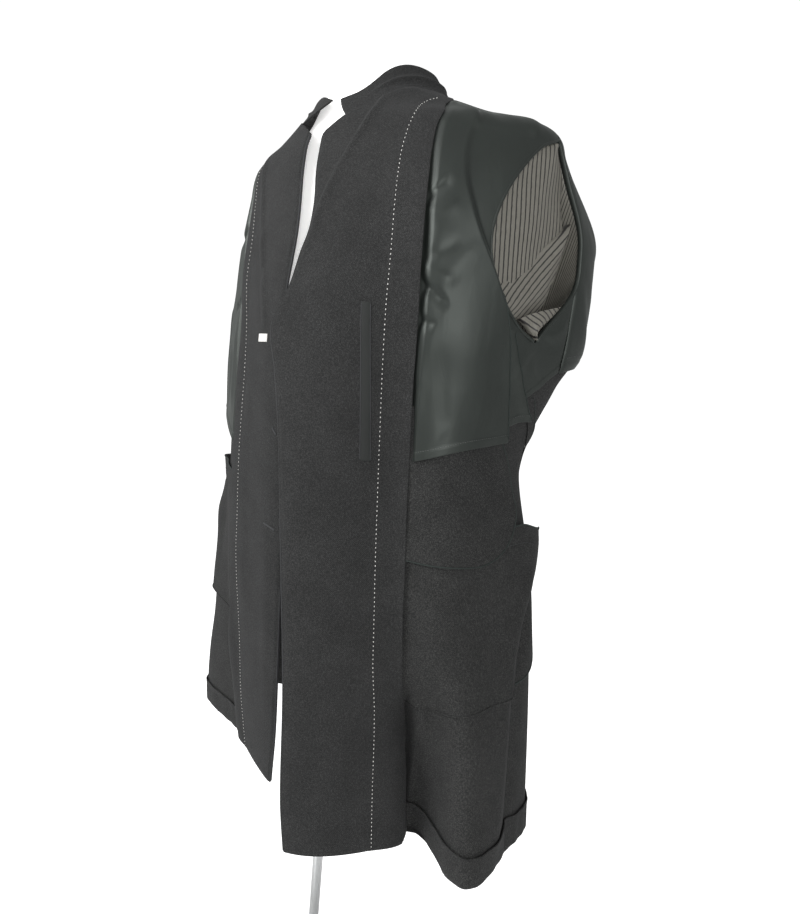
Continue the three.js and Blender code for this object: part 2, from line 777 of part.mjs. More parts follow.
// The breast pocket's bag hangs below the lining, rounded at its outer corner.
function buildInnerBag(name, panel) {
  const { side } = panel;
  const place = (u, v) => {
    const round = Math.sqrt(Math.max(1 - Math.max((u - 0.55) / 0.45, 0) ** 2, 0));
    const bottom = mix(470, 388, round);
    const top = mix(548, 500, smooth((u - 0.75) / 0.25));
    const h = mix(bottom, top, v);
    return locate(panel, mix(facingEdge(side, h) + 0.3, 87.4, u), h);
  };
  const lift = (angle, h) => {
    const overHip = hipBagLift(panel, angle, Math.min(h, 434)) + POCKETING + 2;
    return mix(overHip, 2.6, smooth((h - 446) / 60));
  };
  return cloth(name, "pocketing", panel, 10, 6, POCKETING, place, lift);
}

// The breast pocket's welt on the left facing, and the blank tab on the right one.
function buildOnFacing(name, finish, panel, columns, rows, thick, region) {
  const place = (u, v) => {
    const angle = mix(region.start, region.end, u) + region.slant * v;
    return locate(panel, angle, mix(region.low, region.high, v));
  };
  const facing = raised(panel, (angle, h) => facingLift(panel.side, angle, h) + FACING);
  return cloth(name, finish, facing, columns, rows, thick, place, () => 1);
}

const WELT = { start: 32.4, end: 35, slant: 0.4, low: 506, high: 688 };
const TAB = { start: 10.5, end: 18, slant: 0, low: 637, high: 649 };

// The collar, unfolded, from its left tip round the neck to its right tip.
function buildCollar() {
  const point = (u, v, face) => {
    const side = u < 0.5 ? LEFT : RIGHT;
    const near = 1 - Math.abs(2 * u - 1);
    const tip = COLLAR_EDGE[side][0].angle;
    const start = mix(COLLAR_NOTCH[side], tip, v);
    const angle = mix(start, 180, near ** 0.9);
    const slope = Math.max(girthNormal(side, angle, neckline(side, angle)).z, 0);
    const low = neckline(side, angle) + 0.8 + 3 * slope;
    const high = read(COLLAR_EDGE[side], "angle", "h", angle);
    return skin(side, angle, mix(low, Math.max(high, low + 8), v), mix(-COLLAR / 2, COLLAR / 2, face));
  };
  return wall("collar", "facing", 32, 3, point);
}

// A sleeve hangs inside the coat: its mouth is the armhole, and it falls as a flattened tube
// between the coat and the dress form. Turn 0 is the armhole's lowest point.
const SLEEVE_ROWS = 10;
const ELBOW_ROW = 8; // where the sleeve's upper stretch ends and the forearm's starts
const SLEEVE_SECTIONS = [
  { h: 585, middle: 214, back: 44, thick: 18, wide: 68 },
  { h: 500, middle: 197, back: 38, thick: 14, wide: 54 },
  { h: 400, middle: 203, back: 36, thick: 13, wide: 54 },
  { h: 288, middle: 214, back: 36, thick: 13, wide: 54 },
];
const MOUTH_SHARE = 0.45;
const MOUTH_TUCK = 14; // how far it turns inwards below its mouth

function sleeveMouth(side, turn) {
  const level = UNDERARM + ARMHOLE_TALL * 0.5 * (1 - Math.cos(2 * Math.PI * turn));
  const armhole = turn < 0.5 ? ARMHOLE_FRONT : ARMHOLE_BACK;
  const angle = read(armhole, "h", "angle", level);
  const low = 0.5 * (1 + Math.cos(2 * Math.PI * turn));
  return skin(side, angle, level - drop(side), -mix(10, 9.5, low));
}

function sleeveSection(side, turn, h) {
  const key = -h;
  const rows = SLEEVE_SECTIONS.map((row) => ({ ...row, key: -row.h }));
  const value = (column) => read(rows, "key", column, key);
  const scale = side === LEFT ? 1 : 0.94;
  const x = value("middle") * scale + value("thick") * Math.cos(2 * Math.PI * turn);
  const y = value("back") - value("wide") * Math.sin(2 * Math.PI * turn);
  return new THREE.Vector3(side * x, y, HEM_HEIGHT + h);
}

function sleeveAt(side, turn, v) {
  const top = SLEEVE_SECTIONS[0].h;
  const cuff = UNDERARM + ARMHOLE_TALL - SLEEVE_LENGTH;
  if (v >= MOUTH_SHARE) {
    const h = mix(top, cuff, (v - MOUTH_SHARE) / (1 - MOUTH_SHARE));
    return sleeveSection(side, turn, h);
  }
  const t = v / MOUTH_SHARE;
  const point = sleeveMouth(side, turn).lerp(sleeveSection(side, turn, top), t);
  point.x -= side * MOUTH_TUCK * Math.sin(Math.PI * t);
  return point;
}

function sleevePoint(side, turn, v, out) {
  const step = 0.02;
  const low = Math.max(v - step, 0);
  const high = Math.min(v + step, 1);
  const around = sleeveAt(side, (turn + step) % 1, v).sub(sleeveAt(side, (turn - step + 1) % 1, v));
  const along = sleeveAt(side, turn, high).sub(sleeveAt(side, turn, low));
  const normal = around.cross(along).multiplyScalar(side).normalize();
  return sleeveAt(side, turn, v).addScaledVector(normal, out);
}

// One stretch of a sleeve between two of its rows; the last row may be a part of one.
function buildSleeve(name, finish, side, inner, thick, first, last) {
  const rows = Math.ceil(last) - first;
  const point = (turn, v, face) => {
    const row = Math.min(first + rows * v, last);
    return sleevePoint(side, turn, row / SLEEVE_ROWS, inner + face * thick);
  };
  return tube(name, finish, 20, rows, point);
}

// Buttons on the hidden face of the left front, across from the buttonholes.
const BUTTONS = [
  { name: "button_upper", h: 648 },
  { name: "button_middle", h: 520 },
  { name: "button_lower", h: 392 },
];
const BUTTON_INSET = 6; // degrees in from the front edge

function buildButton({ name, h }) {
  const r = BUTTON_RADIUS;
  const t = BUTTON_THICK;
  const profile = [
    [0, 0],
    [r * 0.7, 0],
    [r, t * 0.35],
    [r, t * 0.75],
    [r * 0.85, t],
    [r * 0.7, t * 0.7],
    [0, t * 0.7],
  ];
  const geometry = new THREE.LatheGeometry(profile.map(([x, y]) => new THREE.Vector2(x, y)), 14);
  const mesh = new THREE.Mesh(geometry, new THREE.MeshStandardMaterial(FINISHES.horn_button));
  const angle = frontEdge(LEFT, h) + BUTTON_INSET;
  const seat = skin(LEFT, angle, h, -WOOL - 1.2);
  const inwards = seat.clone().sub(skin(LEFT, angle, h, 0)).normalize();
  mesh.quaternion.setFromUnitVectors(new THREE.Vector3(0, 1, 0), inwards);
  mesh.position.copy(seat);
  mesh.name = name;
  return mesh;
}

function buildTorso() {
  const point = (turn, j) => {
    const row = TORSO_SECTIONS[j];
    const s = Math.sin(2 * Math.PI * turn);
    const c = Math.cos(2 * Math.PI * turn);
    const depth = c > 0 ? row.front : row.back;
    return new THREE.Vector3(row.width * s, row.middle - depth * c, HEM_HEIGHT + row.h);
  };
  return loft("dress_form", "form_cover", 28, TORSO_SECTIONS.length, point);
}

// Round pieces of the stand, one above the other with a hair of air between them.
function buildRound(name, finish, radius, low, high, centre) {
  const around = 32;
  const bevel = Math.min(2, (high - low) / 3);
  const rings = [
    { r: radius - bevel, z: low },
    { r: radius, z: low + bevel },
    { r: radius, z: high - bevel },
    { r: radius - bevel, z: high },
  ];
  const point = (turn, j) => {
    const t = 2 * Math.PI * turn;
    return new THREE.Vector3(rings[j].r * Math.sin(t), centre - rings[j].r * Math.cos(t), rings[j].z);
  };
  return loft(name, finish, around, rings.length, point);
}

const group = new THREE.Group();
const torsoFoot = HEM_HEIGHT + TORSO_BOTTOM;
const neckTop = HEM_HEIGHT + NECK_TOP;
group.add(
  buildRound("stand_base", "stand_metal", BASE_RADIUS, 0, BASE_THICK, 0),
  buildRound("stand_pole", "stand_metal", POLE_RADIUS, BASE_THICK + 0.3, torsoFoot - 0.3, 0),
  buildTorso(),
  buildRound("neck_cap", "form_cover", 50, neckTop + 0.3, neckTop + 8, 3),
);
const fronts = { [LEFT]: frontPanel(LEFT), [RIGHT]: frontPanel(RIGHT) };
for (const side of [LEFT, RIGHT]) {
  const hand = side === LEFT ? "left" : "right";
  const front = fronts[side];
  const back = backPanel(side);
  group.add(
    buildPanel(`front_${hand}`, front),
    buildPanel(`back_${hand}`, back),
    buildFacing(`facing_${hand}`, front),
    buildFrontHem(`hem_front_${hand}`, front),
    buildBackHem(`hem_back_${hand}`, back),
    buildFrontLining(`lining_front_${hand}`, front),
    buildSideLining(`lining_side_${hand}`, front),
    buildBackLining(`lining_back_${hand}`, back),
    buildHipBag(`hip_pocket_bag_${hand}`, front),
    buildSleeve(`sleeve_${hand}`, "wool", side, 2.1, WOOL, 0, ELBOW_ROW - 0.01),
    buildSleeve(`forearm_${hand}`, "wool", side, 2.1, WOOL, ELBOW_ROW, SLEEVE_ROWS),
    buildSleeve(`sleeve_lining_${hand}`, "striped_lining", side, 0, SATIN, 0, 9.85),
  );
}
group.add(
  buildCollar(),
  buildInnerBag("inner_pocket_bag_left", fronts[LEFT]),
  buildOnFacing("breast_welt_left", "satin", fronts[LEFT], 2, 8, SATIN, WELT),
  buildOnFacing("tab_right", "tab", fronts[RIGHT], 3, 1, 1, TAB),
);
for (const button of BUTTONS) group.add(buildButton(button));

export default group;
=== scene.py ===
# %% [markdown]
# # A wool coat, worn inside out on a dress form
#
# The coat hangs open with its inside showing: wide wool facings, a half lining of dark satin,
# loose pocket bags and a turned-up hem. Its sleeves hang inside the body, so that only their
# striped lining shows in the armholes. Every piece of cloth here is one surface, worked out
# as arrays of points over two parameters: an angle round the body and a height above the hem.

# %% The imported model
import math
import bpy
import numpy as np
from mathutils import Matrix, Vector


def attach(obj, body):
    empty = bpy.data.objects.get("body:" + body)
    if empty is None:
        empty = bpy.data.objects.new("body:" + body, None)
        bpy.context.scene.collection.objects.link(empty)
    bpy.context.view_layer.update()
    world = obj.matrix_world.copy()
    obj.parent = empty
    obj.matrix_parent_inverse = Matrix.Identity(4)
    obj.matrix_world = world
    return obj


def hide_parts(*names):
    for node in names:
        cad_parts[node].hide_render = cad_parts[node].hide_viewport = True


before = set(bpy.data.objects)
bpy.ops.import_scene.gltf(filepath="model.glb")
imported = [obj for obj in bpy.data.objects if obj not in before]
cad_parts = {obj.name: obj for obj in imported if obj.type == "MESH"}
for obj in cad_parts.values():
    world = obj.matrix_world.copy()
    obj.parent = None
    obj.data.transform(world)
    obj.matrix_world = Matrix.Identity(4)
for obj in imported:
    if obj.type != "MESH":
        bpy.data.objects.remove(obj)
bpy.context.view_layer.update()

# %% [markdown]
# ## Sizes
#
# A tailor works from a table of girths and lengths, and so does this file. Heights are in
# millimetres above the hem and angles in degrees, from 0 at the middle front to 180 at the
# middle back. The same tables shaped the solids, so each cloth lies where its solid is.

# %% Driving sizes
LEFT, RIGHT = 1, -1
SIDES = ((LEFT, "left"), (RIGHT, "right"))
HEM = 497.0  # above the floor
UNDERARM = 661.0
MIDDLE_BACK = 180.0
DROP = {LEFT: 0.0, RIGHT: 14.0}  # how much lower a side hangs
TURN_UP = 40.0
MM_PER_DEGREE = 4.4  # round the body, for the widths of creases
# The thickness of each kind of piece.
WALL = dict(panel=1.8, facing=1.7, hem=1.6, allowance=0.8, bag=1.4, lining=0.7, collar=2.2,
            welt=0.6, tab=0.8)

# %% Girth tables: height, half width, depth to the front, squareness of the outline
GIRTH = {
    LEFT: np.array([
        [0, 306, 248, 2.4], [200, 292, 236, 2.4], [330, 279, 228, 2.3],
        [400, 268, 224, 2.3], [500, 246, 214, 2.3], [600, 254, 205, 2.3],
        [660, 264, 202, 2.3], [720, 268, 192, 2.3], [780, 268, 176, 2.3],
        [840, 268, 158, 2.2], [885, 266, 142, 2.0], [910, 254, 130, 1.9],
        [929, 196, 116, 1.8], [948, 148, 103, 1.9], [963, 113, 94, 2.0],
        [982, 97, 83, 2.0], [1004, 82, 74, 2.0]]),
    RIGHT: np.array([
        [0, 285, 159, 1.25], [200, 268, 166, 1.5], [330, 264, 172, 1.6],
        [400, 266, 176, 1.55], [500, 275, 180, 1.4], [600, 272, 180, 1.32],
        [660, 262, 176, 1.33], [720, 248, 166, 1.45], [780, 232, 152, 1.62],
        [840, 225, 138, 1.72], [870, 222, 130, 1.8], [890, 212, 124, 1.8],
        [910, 175, 114, 1.8], [935, 130, 102, 1.8], [955, 98, 92, 1.9],
        [990, 74, 78, 2.0], [1000, 70, 72, 2.0]]),
}
# Behind: height, how far back the middle lies, depth from it to the back, squareness.
BACK = np.array([
    [0, 60, 90, 2.4], [200, 53, 90, 2.4], [400, 45, 88, 2.4], [500, 40, 90, 2.6],
    [600, 35, 104, 2.8], [700, 30, 118, 3.0], [780, 28, 120, 3.0], [840, 28, 112, 2.8],
    [885, 28, 96, 2.4], [910, 26, 84, 2.1], [935, 22, 74, 1.9], [955, 20, 70, 1.9],
    [970, 18, 68, 2.0], [990, 14, 58, 2.0], [1000, 12, 56, 2.0]])

# %% Large folds: angle, spread, out, along, and the heights from, full, hold, gone
FOLDS = {
    LEFT: [
        (42, 14, -50, 45, -2, -1, 0, 1000), (56, 9, -81, 30, -2, -1, 0, 330),
        (53, 5, 5, -17, -2, -1, 0, 250),
        (67, 8, 33, -22, -2, -1, 0, 330), (112, 20, 52, 0, 480, 640, 780, 900),
        (122, 9, 16, 0, -2, -1, 0, 400), (146, 9, -13, 0, -2, -1, 0, 460),
        (163, 8, 11, 0, -2, -1, 0, 330)],
    RIGHT: [
        (76, 8, 60, 10, -2, -1, 0, 420), (112, 22, 30, 0, 480, 640, 780, 880),
        (116, 10, 15, 0, -2, -1, 0, 360), (139, 9, -14, 0, -2, -1, 0, 430),
        (160, 8, 9, 0, -2, -1, 0, 300)],
}

# %% Pattern lines: height and angle
FRONT_EDGE = {
    LEFT: np.array([
        [0, 20], [70, 18.3], [212, 16.9], [325, 14.6], [423, 12.2], [531, 8.5],
        [602, 4.9], [653, 2.2], [679, 5.6], [706, 9.0], [746, 11.4], [776, 12.9],
        [809, 12.2], [848, 9.1], [894, 6.4]]),
    RIGHT: np.array([
        [0, 9.0], [85, 4.4], [200, 2], [300, 0], [395, -3.2], [525, -4], [600, -3],
        [656, -1], [703, 1.2], [740, 1.4], [777, 2.4], [813, 5], [868, 11], [909, 15]]),
}
FACING_EDGE = {
    LEFT: np.array([
        [0, 43.5], [205, 43.3], [388, 45.4], [516, 47.7], [650, 49.1], [749, 50.6],
        [847, 53.1], [886, 55.4], [905, 58.1], [929, 65], [945, 74], [966, 85]]),
    RIGHT: np.array([
        [0, 54], [100, 57], [200, 53], [330, 47], [400, 45], [500, 45], [600, 47],
        [660, 50], [780, 55], [870, 61], [910, 66], [935, 76], [952, 85]]),
}
SIDE_SEAM = np.array([
    [0, 102], [330, 101.5], [480, 100], [540, 94], [600, 86], [661, 84.5]])
ARMHOLE_FRONT = np.array([
    [661, 84.3], [674, 78.2], [701, 72.4], [728, 69.1], [760, 67.7], [792, 68.8],
    [828, 72.3], [864, 78], [885, 83], [898, 88.6], [912, 89.2], [972, 89.4]])
ARMHOLE_BACK = np.array([
    [661, 84.7], [678, 87.4], [707, 92.6], [735, 95.8], [764, 96.2], [812, 95.4],
    [850, 93.8], [880, 91.6], [898, 89.9], [912, 89.6], [972, 89.6]])
# Angle and height.
NECKLINE = {
    LEFT: np.array([
        [0, 884], [6.4, 894], [18.2, 916], [28.6, 928], [38.9, 941], [49.8, 952],
        [62, 959], [75, 964], [89, 967], [130, 969], [180, 971]]),
    RIGHT: np.array([
        [0, 894], [15, 909], [27, 923], [40, 933], [50, 940], [62, 946],
        [75, 952], [89, 956], [130, 964], [180, 971]]),
}

# %% [markdown]
# ## The body surface
#
# Cloth on a body has no simple formula, but it can be built from simple parts: a rounded
# outline at each height, then large folds as bells of angle, then small creases as bells
# across short lines. Adding them in that order keeps each part easy to read and to change.

# %% Reading a table
def smooth(t):
    """An S from 0 to 1: three t squared less two t cubed."""
    t = np.clip(t, 0.0, 1.0)
    return t * t * (3 - 2 * t)


def mix(a, b, t):
    """Straight from a to b as t goes from 0 to 1."""
    return a + (b - a) * t


def read(table, x, column=1):
    """A cubic through a table's rows, its slope at a row that between the row's neighbours."""
    keys, values = table[:, 0], table[:, column]
    last = len(keys) - 1
    row = np.arange(last + 1)
    before, after = np.maximum(row - 1, 0), np.minimum(row + 1, last)
    slope = (values[after] - values[before]) / (keys[after] - keys[before])
    x = np.asarray(x, float)
    i = np.clip(np.searchsorted(keys, x, side="right") - 1, 0, last - 1)
    length = keys[i + 1] - keys[i]
    t = np.clip((x - keys[i]) / length, 0, 1)
    bend = t * (1 - t) ** 2 * slope[i] + t * t * (t - 1) * slope[i + 1]
    return mix(values[i], values[i + 1], t * t * (3 - 2 * t)) + length * bend


# %% Creases of the wool: angle, height, to angle, height, width, out, bow, skew
WOOL_CREASES = {
    LEFT: [
        (91, 372, 80.5, 262, 12, 6, 4, 0.3), (80.5, 300, 76, 10, 12, 8, 0, 0.35),
        (96, 360, 86, 262, 8, -8, 3, -0.3), (86, 290, 81.5, 0, 9, -9, 0, -0.3),
        (60, 372, 66, 330, 30, -2.5, 6, 0),
        (54, 330, 60, 60, 20, 3, 0, 0), (72, 250, 68, 60, 22, -3, -5, 0),
        (45.5, 215, 50.5, 0, 15, -26, 4, 0.3), (50, 215, 61, 6, 15, 9, -6, 0.2),
        (60, 470, 78, 540, 22, -3, 4, 0.2), (86, 500, 70, 420, 20, 2.5, 3, 0),
        (106, 640, 108, 500, 34, -11, 4, 0), (112, 500, 126, 330, 22, -6, 6, 0),
        (130, 640, 126, 300, 24, 5, -6, 0.2), (141, 560, 146, 120, 22, -4, 4, 0),
        (158, 600, 152, 240, 26, 4, -5, 0), (171, 640, 168, 80, 20, -3, 3, 0),
        (104, 300, 100, 30, 16, 4, 0, 0), (134, 220, 131, 10, 16, 4, 0, 0)],
    RIGHT: [
        (84, 420, 74, 180, 20, 5, 0, 0.2), (66, 380, 60, 60, 26, -4, 0, 0),
        (56, 330, 52, 40, 20, 4, 0, 0), (98, 520, 112, 300, 22, -6, 6, 0),
        (106, 620, 120, 380, 24, 6, 6, 0), (126, 600, 130, 180, 24, -5, -4, 0),
        (144, 640, 138, 260, 26, 5, 6, 0), (156, 520, 160, 100, 22, -4, 0, 0),
        (172, 600, 170, 120, 20, 3, 0, 0), (92, 280, 90, 30, 18, 4, 0, 0)],
}

# %% Creases: ridges and troughs along short lines
OVERRUN, FADE = 0.12, 0.35  # shares of a crease's length: past each end, and faded over


def relief(creases, angle, h):
    """Each crease is a bell across a line between two (angle, height) points, in millimetres,
    bowed sideways by a parabola and fading at both ends. A skew makes one flank steeper."""
    total = np.zeros(np.broadcast(angle, h).shape)
    for a0, h0, a1, h1, width, out, bow, skew in creases:
        dx, dy = (a1 - a0) * MM_PER_DEGREE, h1 - h0
        length = math.hypot(dx, dy)
        x, y = (angle - a0) * MM_PER_DEGREE, h - h0
        t = (x * dx + y * dy) / length ** 2
        inside = np.clip(t, 0, 1)
        side = (x * dy - y * dx) / length - bow * 4 * inside * (1 - inside)
        reach = width * np.where(side > 0, 1 + skew, 1 - skew)
        ends = smooth((t + OVERRUN) / FADE) * smooth((1 + OVERRUN - t) / FADE)
        total += out * np.exp(-((side / reach) ** 2)) * ends
    return total


# %% The body surface itself
def girth(side, angle, h):
    """A superellipse of the table's half widths, its radius and place along the outline moved
    by each large fold's bell, and its radius by the wool's creases."""
    angle, h = np.broadcast_arrays(np.asarray(angle, float), np.asarray(h, float))
    s, c = np.sin(np.radians(angle)), np.cos(np.radians(angle))
    front = c > 0
    width = read(GIRTH[side], h, 1)
    depth = np.where(front, read(GIRTH[side], h, 2), read(BACK, h, 2))
    square = np.where(front, read(GIRTH[side], h, 3), read(BACK, h, 3))
    reach = (np.abs(s / width) ** square + np.abs(c / depth) ** square) ** (-1 / square)
    along = np.zeros_like(reach)
    for centre, spread, out, slide, start, full, hold, gone in FOLDS[side]:
        grown = smooth((h - start) / (full - start)) * (1 - smooth((h - hold) / (gone - hold)))
        bell = np.exp(-(((angle - centre) / spread) ** 2)) * grown
        reach = reach + out * bell
        along = along + slide * bell
    reach = reach + relief(WOOL_CREASES[side], angle, h)
    x = side * (reach * s + along * c)
    y = read(BACK, h, 1) - reach * c + along * s
    return np.stack([x, y, HEM + h], -1)


def unit(v):
    """Vectors divided by their lengths."""
    return v / np.maximum(np.linalg.norm(v, axis=-1, keepdims=True), 1e-9)


def skin(side, angle, h, lift=0.0):
    """The surface moved out along its normal, the cross product of its two central
    differences."""
    angle, h = np.broadcast_arrays(np.asarray(angle, float), np.asarray(h, float))
    across = girth(side, angle + 0.5, h) - girth(side, angle - 0.5, h)
    up = girth(side, angle, h + 2) - girth(side, angle, h - 2)
    normal = unit(np.cross(across, up)) * side
    lift = np.broadcast_to(lift, angle.shape)
    return girth(side, angle, h) + normal * lift[..., None]


def above(least, lift):
    """A lift that eases into the least one instead of going below it."""
    return least + 0.5 * np.logaddexp(0, (lift - least) / 0.5)


# %% [markdown]
# ## From points to a mesh
#
# A grid of points becomes a mesh of four-sided faces, and Solidify gives it the thickness of
# its cloth on the inner side. A small Bevel rounds the cut edge, as cloth is never sharp.
# Each grid carries a UV map in metres of cloth, so that stripes and weave follow the folds.

# %% Mesh makers
PIECES = {}


def mesh_from(name, points, faces, material, uv=None):
    """One object from points in millimetres and faces by index, smooth, at the origin."""
    mesh = bpy.data.meshes.new(name)
    mesh.from_pydata((points.reshape(-1, 3) / 1000).tolist(), [], faces)
    mesh.polygons.foreach_set("use_smooth", np.ones(len(mesh.polygons), bool))
    if uv is not None:
        loops = np.empty(len(mesh.loops), np.int32)
        mesh.loops.foreach_get("vertex_index", loops)
        layer = mesh.uv_layers.new(name="cloth")
        layer.data.foreach_set("uv", (uv.reshape(-1, 2)[loops] / 1000).ravel())
    mesh.materials.append(material)
    mesh.validate()
    piece = bpy.data.objects.new(name, mesh)
    bpy.context.scene.collection.objects.link(piece)
    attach(piece, "root")
    PIECES[name] = piece
    return piece


def unit_grid(rows, columns):
    """Two parameters from 0 to 1: one that grows by row and one that grows by column."""
    return np.meshgrid(np.linspace(0, 1, rows), np.linspace(0, 1, columns), indexing="ij")


def grid_faces(rows, columns, around=False):
    """Quads over a grid of rows by columns points; around joins the last column to the first."""
    j, i = np.meshgrid(np.arange(rows - 1), np.arange(columns if around else columns - 1),
                       indexing="ij")
    k = (i + 1) % columns
    quads = [j * columns + i, j * columns + k, (j + 1) * columns + k, (j + 1) * columns + i]
    return np.stack(quads, -1).reshape(-1, 4)


def distances(points):
    """How far each point of a grid is along its row, and along its column: running sums of
    the steps between neighbours."""
    across = np.linalg.norm(np.diff(points, axis=1), axis=-1)
    down = np.linalg.norm(np.diff(points, axis=0), axis=-1)
    return (np.pad(np.cumsum(across, 1), ((0, 0), (1, 0))),
            np.pad(np.cumsum(down, 0), ((1, 0), (0, 0))))


def cloth(name, points, thickness, material, flip=False, uv=None, around=False):
    """A grid of outer points given its thickness inwards and a rounded edge."""
    rows, columns = points.shape[:2]
    faces = grid_faces(rows, columns, around)
    if flip:
        faces = faces[:, ::-1]
    if uv is None:
        u, v = distances(points)
        u -= u.mean(1, keepdims=True)
        uv = np.stack([u, np.broadcast_to(v.mean(1, keepdims=True), u.shape)], -1)
    piece = mesh_from(name, points, faces.tolist(), material, uv)
    wall = piece.modifiers.new("wall", "SOLIDIFY")
    wall.thickness = thickness / 1000
    wall.offset = -1
    soft = piece.modifiers.new("edge", "BEVEL")
    soft.width = wall.thickness * 0.3
    soft.segments = 2
    soft.limit_method = "ANGLE"
    soft.angle_limit = math.radians(60)
    print(f"{name}: {rows} x {columns} points, {thickness} mm")
    return piece


def lay(name, side, angle, h, lift, kind, material, replaced=None, turned=False, slot=None,
        **laid):
    """One piece of cloth on the body: a grid of angles and heights lifted off the surface,
    as thick as its kind, in the place of its solid."""
    points = skin(side, angle, h, lift)
    piece = cloth(name, points, WALL[kind], material, flip=(side == RIGHT) != turned)
    if replaced:
        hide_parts(replaced)
    return points


# %% [markdown]
# ## Thread, cord and tape
#
# A bound edge, a seam or a line of thread is a small profile carried along a path. The path
# is given on the cloth, so that it follows every fold, and a frame of three directions at
# each point says which way the profile lies: along the path, out of the cloth and across.

# %% Paths on the cloth
def outwards(path):
    """Level directions away from the body's middle, for threads that lie on the cloth."""
    return unit((path - [0, 40, 0]) * [1, 1, 0])


def along_path(points, step):
    """A path's points respaced at even steps of its own length."""
    lengths = np.concatenate([[0], np.cumsum(np.linalg.norm(np.diff(points, axis=0), axis=1))])
    count = max(int(lengths[-1] / step), 2) + 1
    at = np.linspace(0, lengths[-1], count)
    return np.stack([np.interp(at, lengths, points[:, k]) for k in range(3)], 1)


def directions(path, out):
    """At each point of a path: along it, across it, and out of the cloth square to both."""
    tangent = unit(np.gradient(path, axis=0))
    across = unit(np.cross(tangent, out))
    return tangent, across, unit(np.cross(across, tangent))


# %% Tapes
TAPE_SIDES = 8


def tape(name, path, out, width, height, material):
    """A closed tube along a path whose section is an ellipse: width across the path, height
    out of the cloth. Its ends are closed by shrinking the last rings."""
    _, across, out = directions(path, out)
    turn = np.linspace(0, 2 * np.pi, TAPE_SIDES, endpoint=False)
    size = np.ones(len(path))
    size[[0, -1]] = 0.05
    ring = (np.cos(turn)[None, :, None] * across[:, None] * width / 2
            + np.sin(turn)[None, :, None] * out[:, None] * height / 2)
    points = path[:, None] + ring * size[:, None, None]
    faces = grid_faces(len(path), TAPE_SIDES, around=True)[:, ::-1].tolist()
    first = np.arange(TAPE_SIDES)
    last = first + (len(path) - 1) * TAPE_SIDES
    mesh_from(name, points, faces + [first.tolist(), last[::-1].tolist()], material)


def piping(name, edge, width, height, material, step=3.0, sunk=0.0):
    """A tape along an edge of cloth at even steps, sunk a little into it if asked."""
    path = along_path(edge, step)
    out = outwards(path)
    tape(name, path - out * sunk, out, width, height, material)


# %% Stitches
THREAD_SIDES = 6
THREAD_RINGS = np.array([[-0.5, 0.35], [-0.3, 1.0], [0.3, 1.0], [0.5, 0.35]])  # place, size


def sew(name, edge, step, length, width, height, material, raised=0.0):
    """One small rounded bar of thread at each even step of a line on the cloth, along it."""
    path = along_path(edge, step)
    out = outwards(path)
    place, size = THREAD_RINGS[:, :1], THREAD_RINGS[:, 1:]
    turn = np.linspace(0, 2 * np.pi, THREAD_SIDES, endpoint=False)
    bar = np.stack([np.broadcast_to(place * length, (len(place), THREAD_SIDES)),
                    size * np.cos(turn) * width / 2,
                    size * np.sin(turn) * height / 2], -1).reshape(-1, 3)
    middle = path + out * raised
    axes = np.stack(directions(middle, out), 1)
    points = middle[:, None] + np.einsum("kc,ncd->nkd", bar, axes)
    walls = grid_faces(len(place), THREAD_SIDES, around=True)[:, ::-1]
    first = np.arange(THREAD_SIDES)
    caps = np.stack([first, len(bar) - 1 - first])
    shift = np.arange(len(path))[:, None, None] * len(bar)
    faces = [face for kind in (walls, caps)
             for face in (kind + shift).reshape(-1, kind.shape[1]).tolist()]
    print(f"{name}: {len(path)} stitches")
    mesh_from(name, points, faces, material)


# %% [markdown]
# ## Finishes
#
# Wool coating is dyed in the fibre, so it is never one flat grey: lighter hairs fleck it, and
# a twill weave rules it with fine slanting lines. Both are noise and waves at their real
# scale. They are in a node group, because the wool, the facing and the pocket bags share it.

# %% Node helpers
def new_group(name, inputs, outputs):
    """An empty shader node group with named sockets."""
    group = bpy.data.node_groups.new(name, "ShaderNodeTree")
    for label, kind, value in inputs:
        socket = group.interface.new_socket(label, in_out="INPUT", socket_type=kind)
        socket.default_value = value
    for label, kind in outputs:
        group.interface.new_socket(label, in_out="OUTPUT", socket_type=kind)
    start, end = group.nodes.new("NodeGroupInput"), group.nodes.new("NodeGroupOutput")
    return group, start, end


def node(tree, kind, links=(), **values):
    """A node with its properties set, then its sockets linked or given a value."""
    made = tree.nodes.new(kind)
    for key, value in values.items():
        setattr(made, key, value)
    for socket, source in links:
        if isinstance(source, bpy.types.NodeSocket):
            tree.links.new(source, made.inputs[socket])
        else:
            made.inputs[socket].default_value = source
    return made


def new_material(name, **sockets):
    """A material with one Principled shader and constant values on its sockets."""
    material = bpy.data.materials.new(name)
    material.use_nodes = True
    shader = material.node_tree.nodes["Principled BSDF"]
    for label, value in sockets.items():
        shader.inputs[label.replace("_", " ")].default_value = value
    return material, material.node_tree, shader


def connect(tree, shader, **sources):
    """Links a value to each named socket of a shader."""
    for label, source in sources.items():
        tree.links.new(source, shader.inputs[label.replace("_", " ")])


# %% Helpers for single nodes, each of which returns its output
def object_place(tree):
    """The place on the piece, in metres."""
    return node(tree, "ShaderNodeTexCoord").outputs["Object"]


def cloth_place(tree):
    """The two directions of the cloth, in metres of it."""
    flat = node(tree, "ShaderNodeUVMap", uv_map="cloth").outputs["UV"]
    parts = node(tree, "ShaderNodeSeparateXYZ", [("Vector", flat)])
    return parts.outputs["X"], parts.outputs["Y"]


def noise(tree, place, scale, detail, roughness=0.5, distortion=0.0):
    """The value of a noise at a place."""
    return node(tree, "ShaderNodeTexNoise", [
        ("Vector", place), ("Scale", scale), ("Detail", detail), ("Roughness", roughness),
        ("Distortion", distortion)]).outputs["Fac"]


